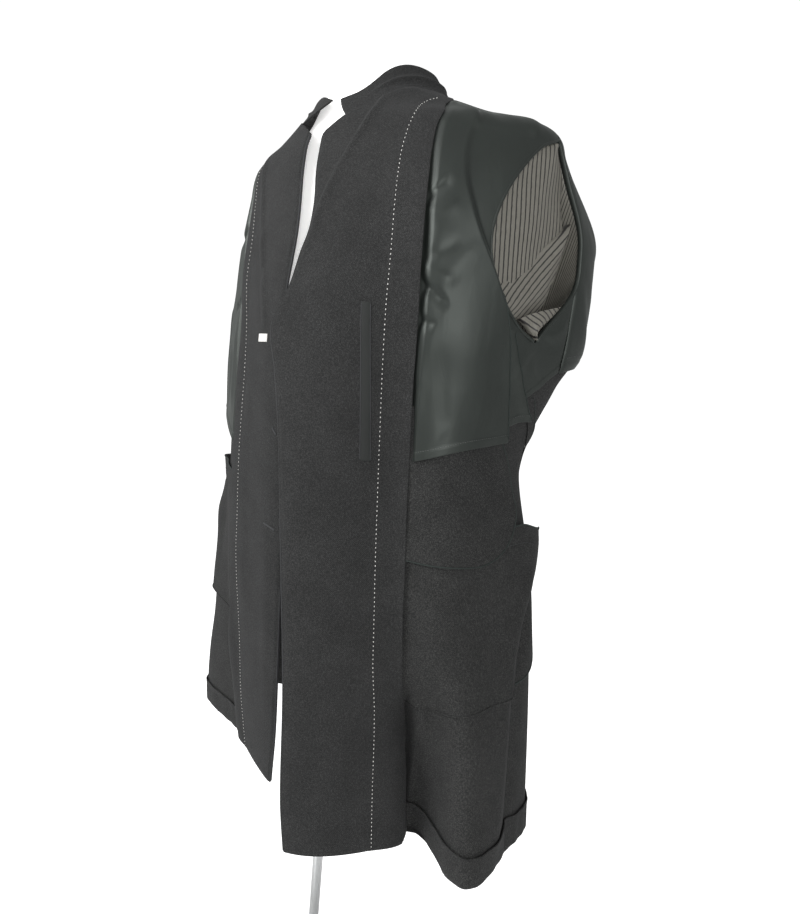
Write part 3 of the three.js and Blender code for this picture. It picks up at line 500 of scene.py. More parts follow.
def figure(tree, operation, *values):
    """The result of a Math node."""
    return node(tree, "ShaderNodeMath", enumerate(values), operation=operation).outputs[0]


def remap(tree, value, low, high, least, most, **values):
    """A value carried from the range low to high to the range least to most."""
    return node(tree, "ShaderNodeMapRange", [
        ("Value", value), ("From Min", low), ("From Max", high), ("To Min", least),
        ("To Max", most)], **values).outputs[0]


def blend(tree, factor, a, b):
    """Two colours mixed."""
    return node(tree, "ShaderNodeMix", [("Factor", factor), ("A", a), ("B", b)],
                data_type="RGBA").outputs["Result"]


def bumped(tree, height, strength, distance, over=None):
    """The normal of a bump, which may lie over another one."""
    under = [("Normal", over)] if over else []
    return node(tree, "ShaderNodeBump", [("Height", height), ("Strength", strength),
                                         ("Distance", distance)] + under).outputs["Normal"]


# %% The weave group
weave, start, end = new_group(
    "twill_weave",
    [("Colour", "NodeSocketColor", (0.05, 0.05, 0.05, 1)),
     ("Fleck", "NodeSocketColor", (0.2, 0.2, 0.2, 1)),
     ("Fleck amount", "NodeSocketFloat", 0.3),
     ("Pitch", "NodeSocketFloat", 0.0016)],
    [("Colour", "NodeSocketColor"), ("Height", "NodeSocketFloat"),
     ("Roughness", "NodeSocketFloat")])
place = object_place(weave)
fibre = noise(weave, place, 760.0, 3.0, 0.7)
cloudy = noise(weave, place, 22.0, 4.0, 0.6)
fleck = remap(weave, fibre, 0.44, 0.76, 0.0, 1.0)
shade = remap(weave, cloudy, 0.3, 0.7, 0.86, 1.14)
slant = figure(weave, "ADD", *cloth_place(weave))
turns = figure(weave, "DIVIDE", slant, start.outputs["Pitch"])
ribs = figure(weave, "SINE", figure(weave, "MULTIPLY", turns, 2 * math.pi))
amount = figure(weave, "MULTIPLY", fleck, start.outputs["Fleck amount"])
flecked = blend(weave, amount, start.outputs["Colour"], start.outputs["Fleck"])
both = figure(weave, "MULTIPLY", shade, remap(weave, ribs, -1.0, 1.0, 0.9, 1.08))
shaded = node(weave, "ShaderNodeVectorMath", [(0, flecked), ("Scale", both)],
              operation="SCALE").outputs[0]
connect(weave, end, Colour=shaded, Height=figure(weave, "MULTIPLY_ADD", ribs, 0.35, fibre),
        Roughness=remap(weave, fibre, 0.0, 1.0, 0.8, 1.0))
print("weave group:", len(weave.nodes), "nodes")

# %% Wool, facing and pocketing from the weave
TWILL_PITCH = 0.0024


def woven(name, colour, fleck_colour, amount):
    """A matt woven cloth: the weave's colour and roughness, its height as a bump, and a soft
    sheen of upright fibres."""
    material, tree, shader = new_material(
        name, Sheen_Weight=0.02, Sheen_Roughness=0.5, Sheen_Tint=(0.8, 0.82, 0.85, 1),
        Specular_IOR_Level=0.25)
    threads = node(tree, "ShaderNodeGroup", [
        ("Colour", (*colour, 1)), ("Fleck", (*fleck_colour, 1)), ("Fleck amount", amount),
        ("Pitch", TWILL_PITCH)], node_tree=weave).outputs
    connect(tree, shader, Base_Color=threads["Colour"], Roughness=threads["Roughness"],
            Normal=bumped(tree, threads["Height"], 0.5, 0.0006))
    return material


wool = woven("wool", (0.0125, 0.0128, 0.0128), (0.15, 0.15, 0.145), 0.4)
facing_wool = woven("facing", (0.0135, 0.0138, 0.0138), (0.13, 0.13, 0.13), 0.36)
pocketing = woven("pocketing", (0.0115, 0.0118, 0.0118), (0.14, 0.14, 0.135), 0.4)

# %% [markdown]
# Satin throws long floats of thread across its face, so it is smooth and catches the light in
# wide soft bands. A middling roughness does that. Two bumps keep it cloth: a slack rumple that
# is longer down the cloth than across it, and a very fine grain.

# %% Satin
satin, tree, shader = new_material(
    "satin_lining", Sheen_Weight=0.06, Sheen_Roughness=0.4, Sheen_Tint=(0.7, 0.8, 0.73, 1),
    Specular_IOR_Level=0.5, Specular_Tint=(0.92, 1.0, 0.94, 1))
place = object_place(tree)
mottle = noise(tree, place, 14.0, 3.0)
slack = node(tree, "ShaderNodeMapping", [("Vector", place), ("Rotation", (0.3, 0.25, 0)),
                                         ("Scale", (1.0, 1.0, 0.3))]).outputs["Vector"]
rumple = bumped(tree, noise(tree, slack, 38.0, 2.5, 0.45, 0.6), 0.35, 0.0025)
connect(tree, shader,
        Base_Color=blend(tree, mottle, (0.0085, 0.0102, 0.0092, 1), (0.0125, 0.0150, 0.0135, 1)),
        Roughness=remap(tree, mottle, 0.0, 1.0, 0.43, 0.52),
        Normal=bumped(tree, noise(tree, place, 900.0, 1.0), 0.15, 0.0002, over=rumple))

# %% [markdown]
# The sleeve lining is a pale twill with fine dark stripes along the sleeve. They are drawn on
# the UV map, whose first direction goes round the sleeve in metres of cloth: a stripe is
# where the remainder of that distance, after division by the pitch, is close to one half.

# %% Striped lining
STRIPE_PITCH, WANDER = 0.0062, 0.0012
striped, tree, shader = new_material(
    "striped_lining", Roughness=0.5, Sheen_Weight=0.2, Sheen_Roughness=0.4,
    Sheen_Tint=(0.9, 0.87, 0.8, 1), Specular_IOR_Level=0.4)
place = object_place(tree)
drift = noise(tree, place, 160.0, 2.0)
shifted = figure(tree, "MULTIPLY_ADD", drift, WANDER, cloth_place(tree)[0])
remainder = figure(tree, "FRACT", figure(tree, "DIVIDE", shifted, STRIPE_PITCH))
away = figure(tree, "ABSOLUTE", figure(tree, "SUBTRACT", remainder, 0.5))
stripe = remap(tree, away, 0.1, 0.17, 1.0, 0.0)
ground = blend(tree, drift, (0.125, 0.120, 0.102, 1), (0.175, 0.168, 0.145, 1))
connect(tree, shader, Base_Color=blend(tree, stripe, ground, (0.016, 0.015, 0.0145, 1)),
        Normal=bumped(tree, noise(tree, place, 1100.0, 1.0), 0.15, 0.0002))


# %% Plain finishes with a little life
def plain(name, low, high, rough_low, rough_high, scale, bump, **sockets):
    """A finish whose colour and roughness drift between two values with a noise."""
    material, tree, shader = new_material(name, **sockets)
    drift = noise(tree, object_place(tree), scale, 4.0)
    connect(tree, shader, Base_Color=blend(tree, drift, (*low, 1), (*high, 1)),
            Roughness=remap(tree, drift, 0.0, 1.0, rough_low, rough_high),
            Normal=bumped(tree, drift, bump, 0.0003))
    return material


# The welt's satin: rougher than the lining, and darker, which is painted shade on a strip that
# faces the lamps.
dull_satin_painted_shade = plain("dull_satin_painted_shade", (0.0070, 0.0085, 0.0078), (0.0105, 0.0125, 0.0115), 0.72, 0.85,
                   300, 0.1)
# Dark tape: the real binding of raw edges, and also the painted shadow lines at the lining's
# free edges and the breast bag's edge.
binding = plain("binding_and_shadow_tape", (0.006, 0.011, 0.009), (0.009, 0.016, 0.013), 0.65, 0.8, 500,
                0.2)
white_thread = plain("white_thread", (0.62, 0.61, 0.58), (0.78, 0.77, 0.74), 0.6, 0.8, 900, 0.3)
dark_thread = plain("dark_thread", (0.014, 0.015, 0.016), (0.03, 0.031, 0.034), 0.6, 0.85,
                    900, 0.3)
grey_thread = plain("grey_thread", (0.06, 0.062, 0.062), (0.1, 0.104, 0.102), 0.5, 0.7, 900,
                    0.3)
horn = plain("horn", (0.012, 0.010, 0.009), (0.045, 0.038, 0.032), 0.25, 0.45, 160, 0.05)
tab_tape = plain("label_tab", (0.66, 0.65, 0.62), (0.76, 0.75, 0.72), 0.7, 0.85, 1200, 0.4)
# The form's cover has an emission: a painted glow that keeps the white form white under the
# lamps.
cover = plain("form_cover", (0.90, 0.895, 0.885), (0.94, 0.935, 0.925), 0.6, 0.75, 700, 0.15,
              Emission_Color=(1, 0.995, 0.985, 1), Emission_Strength=0.5)
steel = plain("stand_metal", (0.60, 0.61, 0.61), (0.70, 0.71, 0.71), 0.25, 0.38, 400, 0.04,
              Metallic=0.6)
print("finishes:", len(bpy.data.materials))

# %% [markdown]
# ## The body panels
#
# Four wool panels carry everything else. Each is a grid from its front end to its back end,
# level by level up to the underarm and then fanned up to the neckline, as the cloth is cut.
# The creases were drawn one by one: long soft ones down the skirt, short ones at the waist.

# %% Lines on the body, as functions of the height
def underarm(side):
    """The height at which the side seam meets the armhole."""
    return UNDERARM - DROP[side]


def line_at(side, table, h):
    """A pattern line's angle at a height, with the right side hanging lower."""
    return read(table, h + DROP[side])


def beside(table, shift=0.0):
    """A line some degrees beside a pattern line."""
    return lambda h: read(table, h) + shift


def upright(angle):
    """A line at one angle."""
    return lambda h: np.full_like(h, angle)


def seam_line(side, armhole):
    """The side seam below the underarm and an armhole edge above it."""
    return lambda h: np.where(h < underarm(side), line_at(side, SIDE_SEAM, h),
                              line_at(side, armhole, h))


# %% Panel grids
LEVEL_SHARE = 0.66  # of a panel's rows, those below the underarm
FIRST_HEIGHT, ROUNDS = 500.0, 14


def fanned(side):
    """Level rows up to the underarm, then rows spread between it and the neckline."""
    low = underarm(side)

    def height(v, angle):
        """The height of a row at an angle."""
        high = mix(low, read(NECKLINE[side], angle), (v - LEVEL_SHARE) / (1 - LEVEL_SHARE))
        return np.where(v < LEVEL_SHARE, low * v / LEVEL_SHARE, high)
    return height


def panel_grid(rows, columns, start, end, height):
    """Angles and heights of a grid between two lines, by repeating height at the angle and
    angle at the height until they agree."""
    v, u = unit_grid(rows, columns)
    h = np.full_like(u, FIRST_HEIGHT)
    for _ in range(ROUNDS):
        h = height(v, mix(start(h), end(h), u))
    return mix(start(h), end(h), u), h


for side, hand in SIDES:
    angle, h = panel_grid(190, 110, beside(FRONT_EDGE[side]), seam_line(side, ARMHOLE_FRONT),
                          fanned(side))
    lay(f"front_panel_{hand}", side, angle, h, 0.0, "panel", wool, f"front_{hand}")
    angle, h = panel_grid(190, 110, seam_line(side, ARMHOLE_BACK), upright(MIDDLE_BACK),
                          fanned(side))
    lay(f"back_panel_{hand}", side, angle, h, 0.0, "panel", wool, f"back_{hand}")

# %% [markdown]
# ## The facings
#
# A facing is the wool strip that backs the front edge. It is sewn to the panel along that
# edge alone, so its inner edge stands a little off and throws a dark line of shadow. The
# lapel's roll line crosses it as a faint ridge, because the lapel has always been worn folded.

# %% Facing creases and lift
FACING_CREASES = {
    LEFT: [
        (2.2, 653, 13.7, 768, 9, 1.8, 0, 0.3), (13.7, 768, 21.7, 853, 7, 2.6, -3, 0.4),
        (21.7, 853, 38.9, 941, 6, 3.0, -4, 0.4), (38.9, 941, 62, 958, 7, 2.2, 0, 0.2),
        (44, 120, 45, 20, 16, 3, 0, 0), (30, 620, 34, 420, 34, 2, 4, 0),
        (24, 420, 26, 120, 30, -2.2, 0, 0), (36, 380, 38, 60, 24, 2, 0, 0),
        (40, 760, 36, 700, 12, -1.2, 0, 0), (36.5, 640, 36, 560, 10, 1.0, 0, 0),
        (45, 840, 40, 780, 14, 1.4, 3, 0), (14, 560, 18, 420, 26, 1.6, 0, 0)],
    RIGHT: [
        (13.5, 655, 22.9, 730, 12, 3.0, 0, 0.3), (22.9, 730, 33.7, 785, 10, 3.4, 0, 0.3),
        (33.7, 785, 54.5, 900, 9, 3.4, 0, 0.3), (20, 600, 24, 300, 30, -2, 0, 0),
        (34, 560, 36, 200, 30, 2, 0, 0), (8, 420, 12, 120, 22, 1.6, 0, 0)],
}

FACING_LEAST, FACING_BASE, FACING_STAND = 1.9, 2.9, 4.6  # lift: least, usual, more at the edge


def facing_lift(side, angle, h):
    """Thin where it turns over the front edge, then three millimetres over the panel, and a
    stand-off at the free inner edge with a slow wave down it, plus the facing's creases."""
    turned_edge = np.exp(-(((angle - read(FRONT_EDGE[side], h)) * MM_PER_DEGREE / 4.5) ** 2))
    near = smooth((angle - read(FACING_EDGE[side], h) + 12) / 12)
    low = 1 - smooth((h - 760) / 140)
    wave = 1.1 * np.sin(h / 61.0 + side) + 0.7 * np.sin(h / 23.0 + 1.3)
    lift = FACING_BASE + (FACING_STAND + wave) * near * low
    lift = lift + relief(FACING_CREASES[side], angle, h)
    return above(FACING_LEAST, lift) - 1.3 * turned_edge


for side, hand in SIDES:
    angle, h = panel_grid(260, 90, beside(FRONT_EDGE[side], -0.25), beside(FACING_EDGE[side]),
                          fanned(side))
    lay(f"facing_strip_{hand}", side, angle, h, facing_lift(side, angle, h), "facing",
        facing_wool, f"facing_{hand}")

# %% [markdown]
# ## Turned-up hems
#
# The hem is folded up 40 mm and caught by hand inside, so it shows as a band with a soft
# raised upper edge. The same surface again, lifted by the thickness of the fold.

# %% Hem bands
def band(name, side, start, end, replaced):
    """A strip from just below the hem to the top of the turn-up, raised at its upper edge."""
    angle, h = panel_grid(14, 120, start, end, lambda v, a: TURN_UP * v - 1.2)
    edge = smooth((h - TURN_UP + 10) / 10)
    lay(name, side, angle, h, 2.6 + 0.9 * edge + 0.4 * np.sin(angle * 1.7), "hem", wool,
        replaced, held="folded")


for side, hand in SIDES:
    band(f"hem_band_front_{hand}", side, beside(FACING_EDGE[side], -1.5),
         seam_line(side, ARMHOLE_FRONT), f"hem_front_{hand}")
    band(f"hem_band_back_{hand}", side, seam_line(side, ARMHOLE_BACK), upright(MIDDLE_BACK),
         f"hem_back_{hand}")

# %% [markdown]
# ## Seam allowances
#
# With the coat inside out, the spare cloth of each long seam shows. It is pressed to one side,
# lies flat on the panel with a slightly lifted edge, and that edge is bound.

# %% Seam allowances
def binding_and_shadow_line(name, edge, width=1.8, height=1.5, sunk=0.0):
    """The narrow dark binding along a raw edge. Along the lining's free edges and the breast
    bag's edge, the same dark tape is a painted shadow line.
    """
    piping(name, edge, width, height, binding, sunk=sunk)


def allowance(name, side, seam, spread, high):
    """A strip from the seam to its bound edge, its lift growing from seam to edge, and
    lying flatter at the top, where it goes under the lining."""
    v, u = unit_grid(200, 9)
    h = mix(TURN_UP + 1.5, high, v)
    free = 1 - smooth((h - high + 45) / 30)
    lift = 1.15 + (0.5 + 0.9 * u + 0.25 * np.sin(h / 17)) * free
    points = lay(name, side, seam(h) + spread * u, h, lift, "allowance", wool,
                 turned=spread < 0)
    binding_and_shadow_line(name + "_binding", points[:, -1])


for side, hand in SIDES:
    allowance(f"side_allowance_{hand}", side, lambda h: line_at(side, SIDE_SEAM, h) - 0.3,
              3.9, 594 - DROP[side])
allowance("back_allowance", LEFT, upright(MIDDLE_BACK), -8.0, 634)

# %% [markdown]
# ## Pocket bags
#
# The hip pockets' bags are sewn to the panel at their front and hang free at the side, where
# they stand out as a wing. The breast pocket's bag is smaller, with a round outer corner, and
# comes out from under the lining. Each hip bag has a bound edge and a line of stitching; along
# the breast bag's edge a dark tape is a painted shadow line.

# %% Hip pocket bags: heights, angle of the free edge, stand-off there, shape of its corner
HIP_CREASES = [(50, 410, 92, 408, 5, -1.1, 0, 0), (72, 398, 90, 330, 20, 2.2, 5, 0.2),
               (64, 372, 78, 340, 26, -2, 0, 0)]
HIP = {
    LEFT: dict(low=196, high=430, end=96.2, stand_low=1.0, stand_high=14, corner=2, dip=11,
               taper=4),
    RIGHT: dict(low=196, high=446, end=92.5, stand_low=48, stand_high=24, corner=4, dip=3,
                taper=0),
}


def hip_lift(side, angle, h):
    """Close to the panel at the front, then an S out to the stand-off at the free end, which
    differs from bottom to top, and a small flare at the top corner."""
    bag = HIP[side]
    out = smooth((angle - 72) / (bag["end"] - 72))
    stand = mix(bag["stand_low"], bag["stand_high"], smooth((h - 320) / 90))
    flare = bag["corner"] * smooth((h - bag["high"] + 34) / 34) * out ** 2
    return 2.4 + 0.8 * smooth((h - bag["low"] - 26) / 30) + stand * out + flare


def creased_lift(side, angle, h):
    """The same with the bag's creases, and clear of the panel."""
    return above(1.9, hip_lift(side, angle, h) + relief(HIP_CREASES, angle, h))


def bag_top(side, angle):
    """The bag's top edge, which dips towards its free corner."""
    return HIP[side]["high"] - HIP[side]["dip"] * smooth((angle - 86) / 9)


def bag_end(side, h):
    """The bag's free edge: drawn in round its bottom and its top corner, with a small wing."""
    bag = HIP[side]
    low = smooth((h - bag["low"]) / 60.0) - bag["taper"] / 7.0 * smooth((330 - h) / 130)
    top = smooth((bag["high"] - bag["dip"] - h) / 12.0)
    wing = 1.6 * smooth((h - bag["high"] + 30) / 20.0)
    return bag["end"] - 7 * (1 - low) ** 2 - 2.6 * (1 - top) ** 2 + wing


for side, hand in SIDES:
    bag = HIP[side]
    angle, h = panel_grid(
        110, 110, beside(FACING_EDGE[side], -2.5), lambda h: bag_end(side, h),
        lambda v, a: mix(bag["low"] + 22 * smooth((a - 45) / 40), bag_top(side, a), v))
    points = lay(f"hip_bag_{hand}", side, angle, h, creased_lift(side, angle, h), "bag",
                 pocketing, f"hip_pocket_bag_{hand}")
    binding_and_shadow_line(f"hip_bag_binding_{hand}",
               np.concatenate([points[-1, 20:], points[::-1, -1]]), 2.6, 2.2)
    piping(f"hip_bag_seam_{hand}", points[0, 6:-4], 2.2, 2.4, pocketing)

    t = np.linspace(0, 1, 120)
    angle = mix(56.0, bag["end"] - 0.6, t)
    h = bag_top(side, angle) - 21 - 3 * (1 - t)
    line = skin(side, angle, h, creased_lift(side, angle, h) + 0.05)
    sew(f"hip_bag_stitches_{hand}", line, 2.6, 2.0, 0.8, 0.6, dark_thread)

# %% Breast pocket bag
BREAST_BAG_END = ([497, 521, 539, 575], [84.2, 82.6, 80.0, 74.0])
BREAST_BAG_CREASES = [
    (52, 500, 74, 430, 20, 2.0, 6, 0.2), (56, 450, 60, 400, 16, -1.6, 0, 0),
    (80, 520, 84, 440, 14, 1.6, 0, 0), (50, 520, 64, 440, 10, -2.0, 5, 0.3)]


def bag_bottom(angle):
    """Level, then a quarter ellipse up to the round outer corner."""
    t = np.clip((angle - 68) / 16.4, 0, 1)
    return 470 - 81 * np.sqrt(1 - t ** 2)


angle, h = panel_grid(
    70, 90, beside(FACING_EDGE[LEFT], -2.5), lambda h: np.interp(h, *BREAST_BAG_END),
    lambda v, a: mix(np.minimum(bag_bottom(a), 497), 575.0, v))
# Over the hip pocket's bag at its bottom, and flatter where it goes under the lining.
lift = hip_lift(LEFT, angle, np.minimum(h, 408)) + 3.8
lift = mix(mix(lift, 6.0, smooth((h - 430) / 60)), 3.0, smooth((h - 505) / 40))
lift = above(3.0, lift + relief(BREAST_BAG_CREASES, angle, h))
points = lay("breast_bag", LEFT, angle, h, lift, "bag", pocketing, "inner_pocket_bag_left")
# A dark tape along the bag's edge: a painted shadow line.
binding_and_shadow_line("breast_bag_shadow_line", np.concatenate([points[0, 4:], points[1:, -1]]), 1.9, 2.0, 0.3)

# %% [markdown]
# ## The half lining
#
# Satin covers only the shoulders and the top of the back. Each piece hangs free at its hem.
# The front piece lies over the side piece, a third closes the underarm behind them, and the
# last covers the back. Satin shows every small tuck as a light and a dark line, so it has the
# most creases.

# %% Lining creases
SATIN_CREASES = {
    LEFT: [
        (72, 962, 66.5, 895, 7, 2.6, 0, 0.4), (78, 955, 73, 900, 9, -1.8, 0, 0),
        (86, 932, 80, 888, 8, 1.8, 2, 0.2), (94, 925, 101, 876, 9, 2.4, 0, 0.3),
        (101, 930, 97, 892, 6, -1.8, 0, 0), (57, 850, 57, 700, 26, 1.6, 0, 0),
        (56, 900, 61, 945, 9, 1.8, 0, 0),
        (50.5, 806, 58, 828, 6, -2.2, 3, 0.3), (51.5, 790, 60, 800, 8, 1.2, 4, 0.2),
        (48, 716, 57, 690, 7, -3.4, -3, 0.3), (49, 736, 59, 716, 9, 2.0, 4, 0.2),
        (47.5, 682, 54, 668, 6, -2.8, 2, 0.3), (50, 664, 51, 600, 12, 1.0, 5, 0.3),
        (52, 690, 66, 760, 12, 1.6, -4, 0.2), (51, 740, 60, 760, 6, -1.0, 2, 0),
        (54.5, 664, 49.5, 556, 12, 1.5, 4, 0.2), (57, 640, 59, 540, 9, -1.4, 0, 0),
        (66, 660, 70, 560, 22, 1.3, 4, 0), (55, 780, 54, 720, 9, 1.2, 0, 0),
        (72, 650, 77, 560, 12, -1.5, 3, 0), (60, 560, 52, 512, 10, 0.9, 0, 0.2),
        (84, 640, 92, 606, 9, 2.0, 4, 0.3), (80, 668, 92, 655, 6, -1.8, -3, 0),
        (88, 668, 94, 690, 8, 2.2, 3, 0.3), (84, 655, 78, 600, 8, 1.6, 2, 0),
        (97, 740, 108, 640, 12, 2.6, 6, 0.3), (99, 820, 112, 720, 14, -3, 8, 0),
        (98, 880, 118, 760, 14, 3, 10, 0.2), (95.2, 731, 95.2, 636, 1.8, -1.0, 0, 0),
        (118, 900, 124, 700, 20, 4, 8, 0), (134, 930, 138, 680, 22, -4, 6, 0),
        (150, 900, 148, 660, 20, 3.4, -4, 0), (166, 920, 164, 660, 18, -3, 0, 0),
        (108, 700, 150, 680, 16, 2.6, -8, 0), (120, 660, 168, 660, 12, -2, 6, 0)],
    RIGHT: [
        (58, 800, 66, 780, 6, -3, 3, 0.3), (54, 700, 62, 690, 6, -3, 3, 0.3),
        (57, 660, 55, 540, 14, 3, 4, 0.3),
        (66, 630, 70, 530, 16, -3, 3, 0), (96, 760, 108, 640, 12, 3.6, 6, 0.3),
        (99, 820, 112, 700, 14, -4, 8, 0), (98, 870, 118, 740, 14, 4, 10, 0.2),
        (118, 900, 124, 680, 20, 4, 8, 0), (136, 930, 134, 680, 22, -4, 6, 0),
        (150, 890, 152, 660, 20, 3.4, -4, 0), (166, 920, 164, 650, 18, -3, 0, 0),
        (112, 690, 150, 670, 16, 2.6, -8, 0)],
}
FRONT_LINING_HEM = np.array([[40, 500], [54, 515], [68, 531], [82, 541]])
FRONT_LINING_END = np.array([[500, 81.2], [536, 80.4], [590, 77.7], [632, 75.3], [675, 72.9],
                             [714, 70.8]])
BACK_LINING_HEM = np.array([[80, 572], [86, 592], [90.5, 610], [96, 630], [110, 640],
                            [140, 632], [180, 640]])

# %% Lining lines
MAIN_FOLD = np.array([[560, 83], [632, 78], [678, 74.2], [726, 69.6], [764, 65.8], [800, 63.4],
                      [836, 62.2], [876, 64], [934, 72]])
SIDE_LINING_START, SIDE_SEAM_ANGLE = 68.0, 95.2
SIDE_LINING_END = np.array([[552, 90.2], [568, 89.6], [584, 86.5], [630, 79.8], [665, 75.9]])
UNDER_ARMHOLE = ([68.0, 72.4, 78.2, 84.3, 84.7, 87.4, 92.6, 95.8],
                 [713.0, 701.0, 674.0, 661.0, 661.0, 678.0, 707.0, 735.0])
# Where the front piece's free edge, and the seam under the arm, meet the armhole.
FREE_EDGE_TOP, SIDE_SEAM_TOP = 713, 731


def main_fold(side, angle, h):
    """The slack that hangs from the shoulder: a broad swell that ends in one fold, as a step
    of 1.8 degrees on its outer side and an exponential on its inner side."""
    inner = line_at(side, MAIN_FOLD, h) - angle
    level = h + DROP[side]
    grown = 8.0 * smooth((948 - level) / 170.0) * (1 - 0.25 * smooth((700 - level) / 150))
    swell = 0.3 + 0.7 * np.exp(-np.maximum(inner, 0) / 9.0)
    return grown * smooth((inner + 0.9) / 1.8) * swell


def front_lining_end(side, h):
    """The free slanted edge, handed over to the armhole's edge above the underarm."""
    free = line_at(side, FRONT_LINING_END, h)
    arm = line_at(side, ARMHOLE_FRONT, h) - 0.05
    return np.where(h + DROP[side] < FREE_EDGE_TOP, free, arm)


def front_lining_lift(side, angle, h):
    """Tucked under the facing, then over the wool with the main fold, and lower down over the
    side piece too."""
    tucked = smooth((read(FACING_EDGE[side], h) + 2.8 - angle) / 3.4)
    lift = 2.4 + 4.0 * smooth((720 - h) / 60.0) + main_fold(side, angle, h)
    return lift * (1 - tucked)


# %% Lining pieces
def satin_piece(name, side, size, start, end, height, lift, replaced=None):
    """One satin piece: its lift over the wool with the satin's creases, and a hem of double
    cloth along its lowest row."""
    angle, h = panel_grid(*size, start, end, height)
    hem = 0.7 * (1 - smooth((h - h[:1] - 9) / 2.5)) * (h[:1] < 700)
    total = above(0.9, lift(angle, h) + relief(SATIN_CREASES[side], angle, h)) + hem
    return lay(name, side, angle, h, total, "lining", satin, replaced)


def hem_stitches(name, points, row):
    """A fine running stitch along one row of a lining's grid."""
    sew(name, points[row][2:-2], 3.0, 2.0, 0.5, 0.5, grey_thread, raised=0.2)


for side, hand in SIDES:
    drop = DROP[side]
    points = satin_piece(
        f"front_lining_{hand}", side, (250, 130), beside(FACING_EDGE[side], -2.5),
        lambda h: front_lining_end(side, h),
        lambda v, a: mix(read(FRONT_LINING_HEM, a) - drop, read(NECKLINE[side], a), v),
        lambda a, h: front_lining_lift(side, a, h), f"lining_front_{hand}")
    hem_stitches(f"front_lining_stitches_{hand}", points, 6)
    edge = points[:, -1]
    free = edge[edge[:, 2] < HEM + FREE_EDGE_TOP - 1 - drop]
    # A dark tape along the front piece's free edge: painted shadow where it lies over the side
    # piece.
    binding_and_shadow_line(f"front_lining_shadow_line_{hand}", free[2:])
    points = satin_piece(
        f"side_lining_{hand}", side, (70, 50), upright(SIDE_LINING_START),
        lambda h: line_at(side, SIDE_LINING_END, h),
        lambda v, a: mix(mix(548, 566, smooth((a - 72) / 18)), 672.0, v) - drop,
        lambda a, h: 3.4 + 5.0 * smooth((a - line_at(side, SIDE_LINING_END, h) + 5) / 5),
        f"lining_side_{hand}")
    hem_stitches(f"side_lining_stitches_{hand}", points, 6)
    # A dark tape along the side piece's free edge: painted shadow where it lies over the
    # underarm piece.
    binding_and_shadow_line(f"side_lining_shadow_line_{hand}", points[1:, -1])
    satin_piece(
        f"underarm_lining_{hand}", side, (90, 80), upright(SIDE_LINING_START),
        upright(SIDE_SEAM_ANGLE),
        lambda v, a: mix(read(BACK_LINING_HEM, a), np.interp(a, *UNDER_ARMHOLE), v) - drop,
        lambda a, h: 2.0 - 1.0 * np.exp(-(((a - SIDE_SEAM_ANGLE) / 0.35) ** 2)))
    points = satin_piece(
        f"back_lining_{hand}", side, (170, 170),
        lambda h: np.where(h + drop < SIDE_SEAM_TOP, SIDE_SEAM_ANGLE,
                           line_at(side, ARMHOLE_BACK, h) + 0.05),
        upright(MIDDLE_BACK),
        lambda v, a: mix(read(BACK_LINING_HEM, a) - drop * smooth((MIDDLE_BACK - a) / 60),
                         read(NECKLINE[side], a), v),
        lambda a, h: mix(4.4, 2.2, smooth((h - 640) / 80.0))
        - 1.5 * np.exp(-(((a - SIDE_SEAM_ANGLE) / 0.4) ** 2)), f"lining_back_{hand}")
    hem_stitches(f"back_lining_stitches_{hand}", points, 9)

# %% [markdown]
# ## Collar
#
# The collar stands up unfolded round the neck. Where it used to fold, a roll line runs along
# it, and near the seam rows of padding stitches show as faint parallel lines.

# %% Collar surface
COLLAR_EDGE = {
    LEFT: np.array([[9, 943], [23, 953], [40, 980], [55, 993], [75, 998], [120, 997],
                    [180, 993]]),
    RIGHT: np.array([[4, 950], [20, 960], [38, 960], [60, 966], [90, 975], [130, 986],
                     [180, 993]]),
}
NOTCH = {LEFT: 18.2, RIGHT: 40.0}  # the angle at which each end of the collar is sewn on
halves = []
for side, _ in SIDES:
    v, u = unit_grid(26, 130)
    start = mix(NOTCH[side], COLLAR_EDGE[side][0, 0], v)
    angle = mix(start, MIDDLE_BACK, u ** 0.9)
    low = read(NECKLINE[side], angle) - 0.6
    high = np.maximum(read(COLLAR_EDGE[side], angle), low + 9)
    roll = 2.4 * np.exp(-(((v - 0.52) / 0.09) ** 2)) * smooth((angle - 25) / 20)
    lines = 0.35 * np.sin(v * 60) * (v < 0.4) * smooth((angle - 40) / 20)
    halves.append(skin(side, angle, mix(low, high, v), 1.6 + roll + lines))
points = np.concatenate([halves[0], halves[1][:, ::-1][:, 1:]], axis=1)
piece = cloth("collar_stand", points, WALL["collar"], facing_wool)
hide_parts("collar")

# %% [markdown]
# ## Sleeves
#
# Each sleeve hangs inside the coat, a flattened wool tube with its striped lining inside it.
# Its mouth is the armhole. The surface goes from the mouth to a flat oval at the waist and
# down the ovals to the cuff.

# %% Sleeve sizes
# Height with its sign turned, so that it grows, then the middle and the half widths.
SECTIONS = np.array([
    [-585, 214, 44, 18, 68], [-500, 197, 38, 14, 54], [-400, 203, 36, 13, 54],
    [-288, 214, 36, 13, 54]])
FIRST_OVAL, CUFF = 585.0, 288.0
ARMHOLE_RISE = 237
MOUTH_SHARE = 0.45  # of the sleeve's rows, those between the mouth and the first oval
SLEEVE_ROWS, SLEEVE_COLUMNS = 150, 160
SLEEVE_GAP = 3.4  # from the lining's outer face to the wool's


# %% Sleeve surface
def mouth(side, turn, lift):
    """Once round the armhole: up its front edge to the shoulder and down its back edge."""
    level = UNDERARM + ARMHOLE_RISE * 0.5 * (1 - np.cos(2 * np.pi * turn))
    angle = np.where(turn < 0.5, read(ARMHOLE_FRONT, level), read(ARMHOLE_BACK, level))
    return skin(side, angle, level - DROP[side], lift)


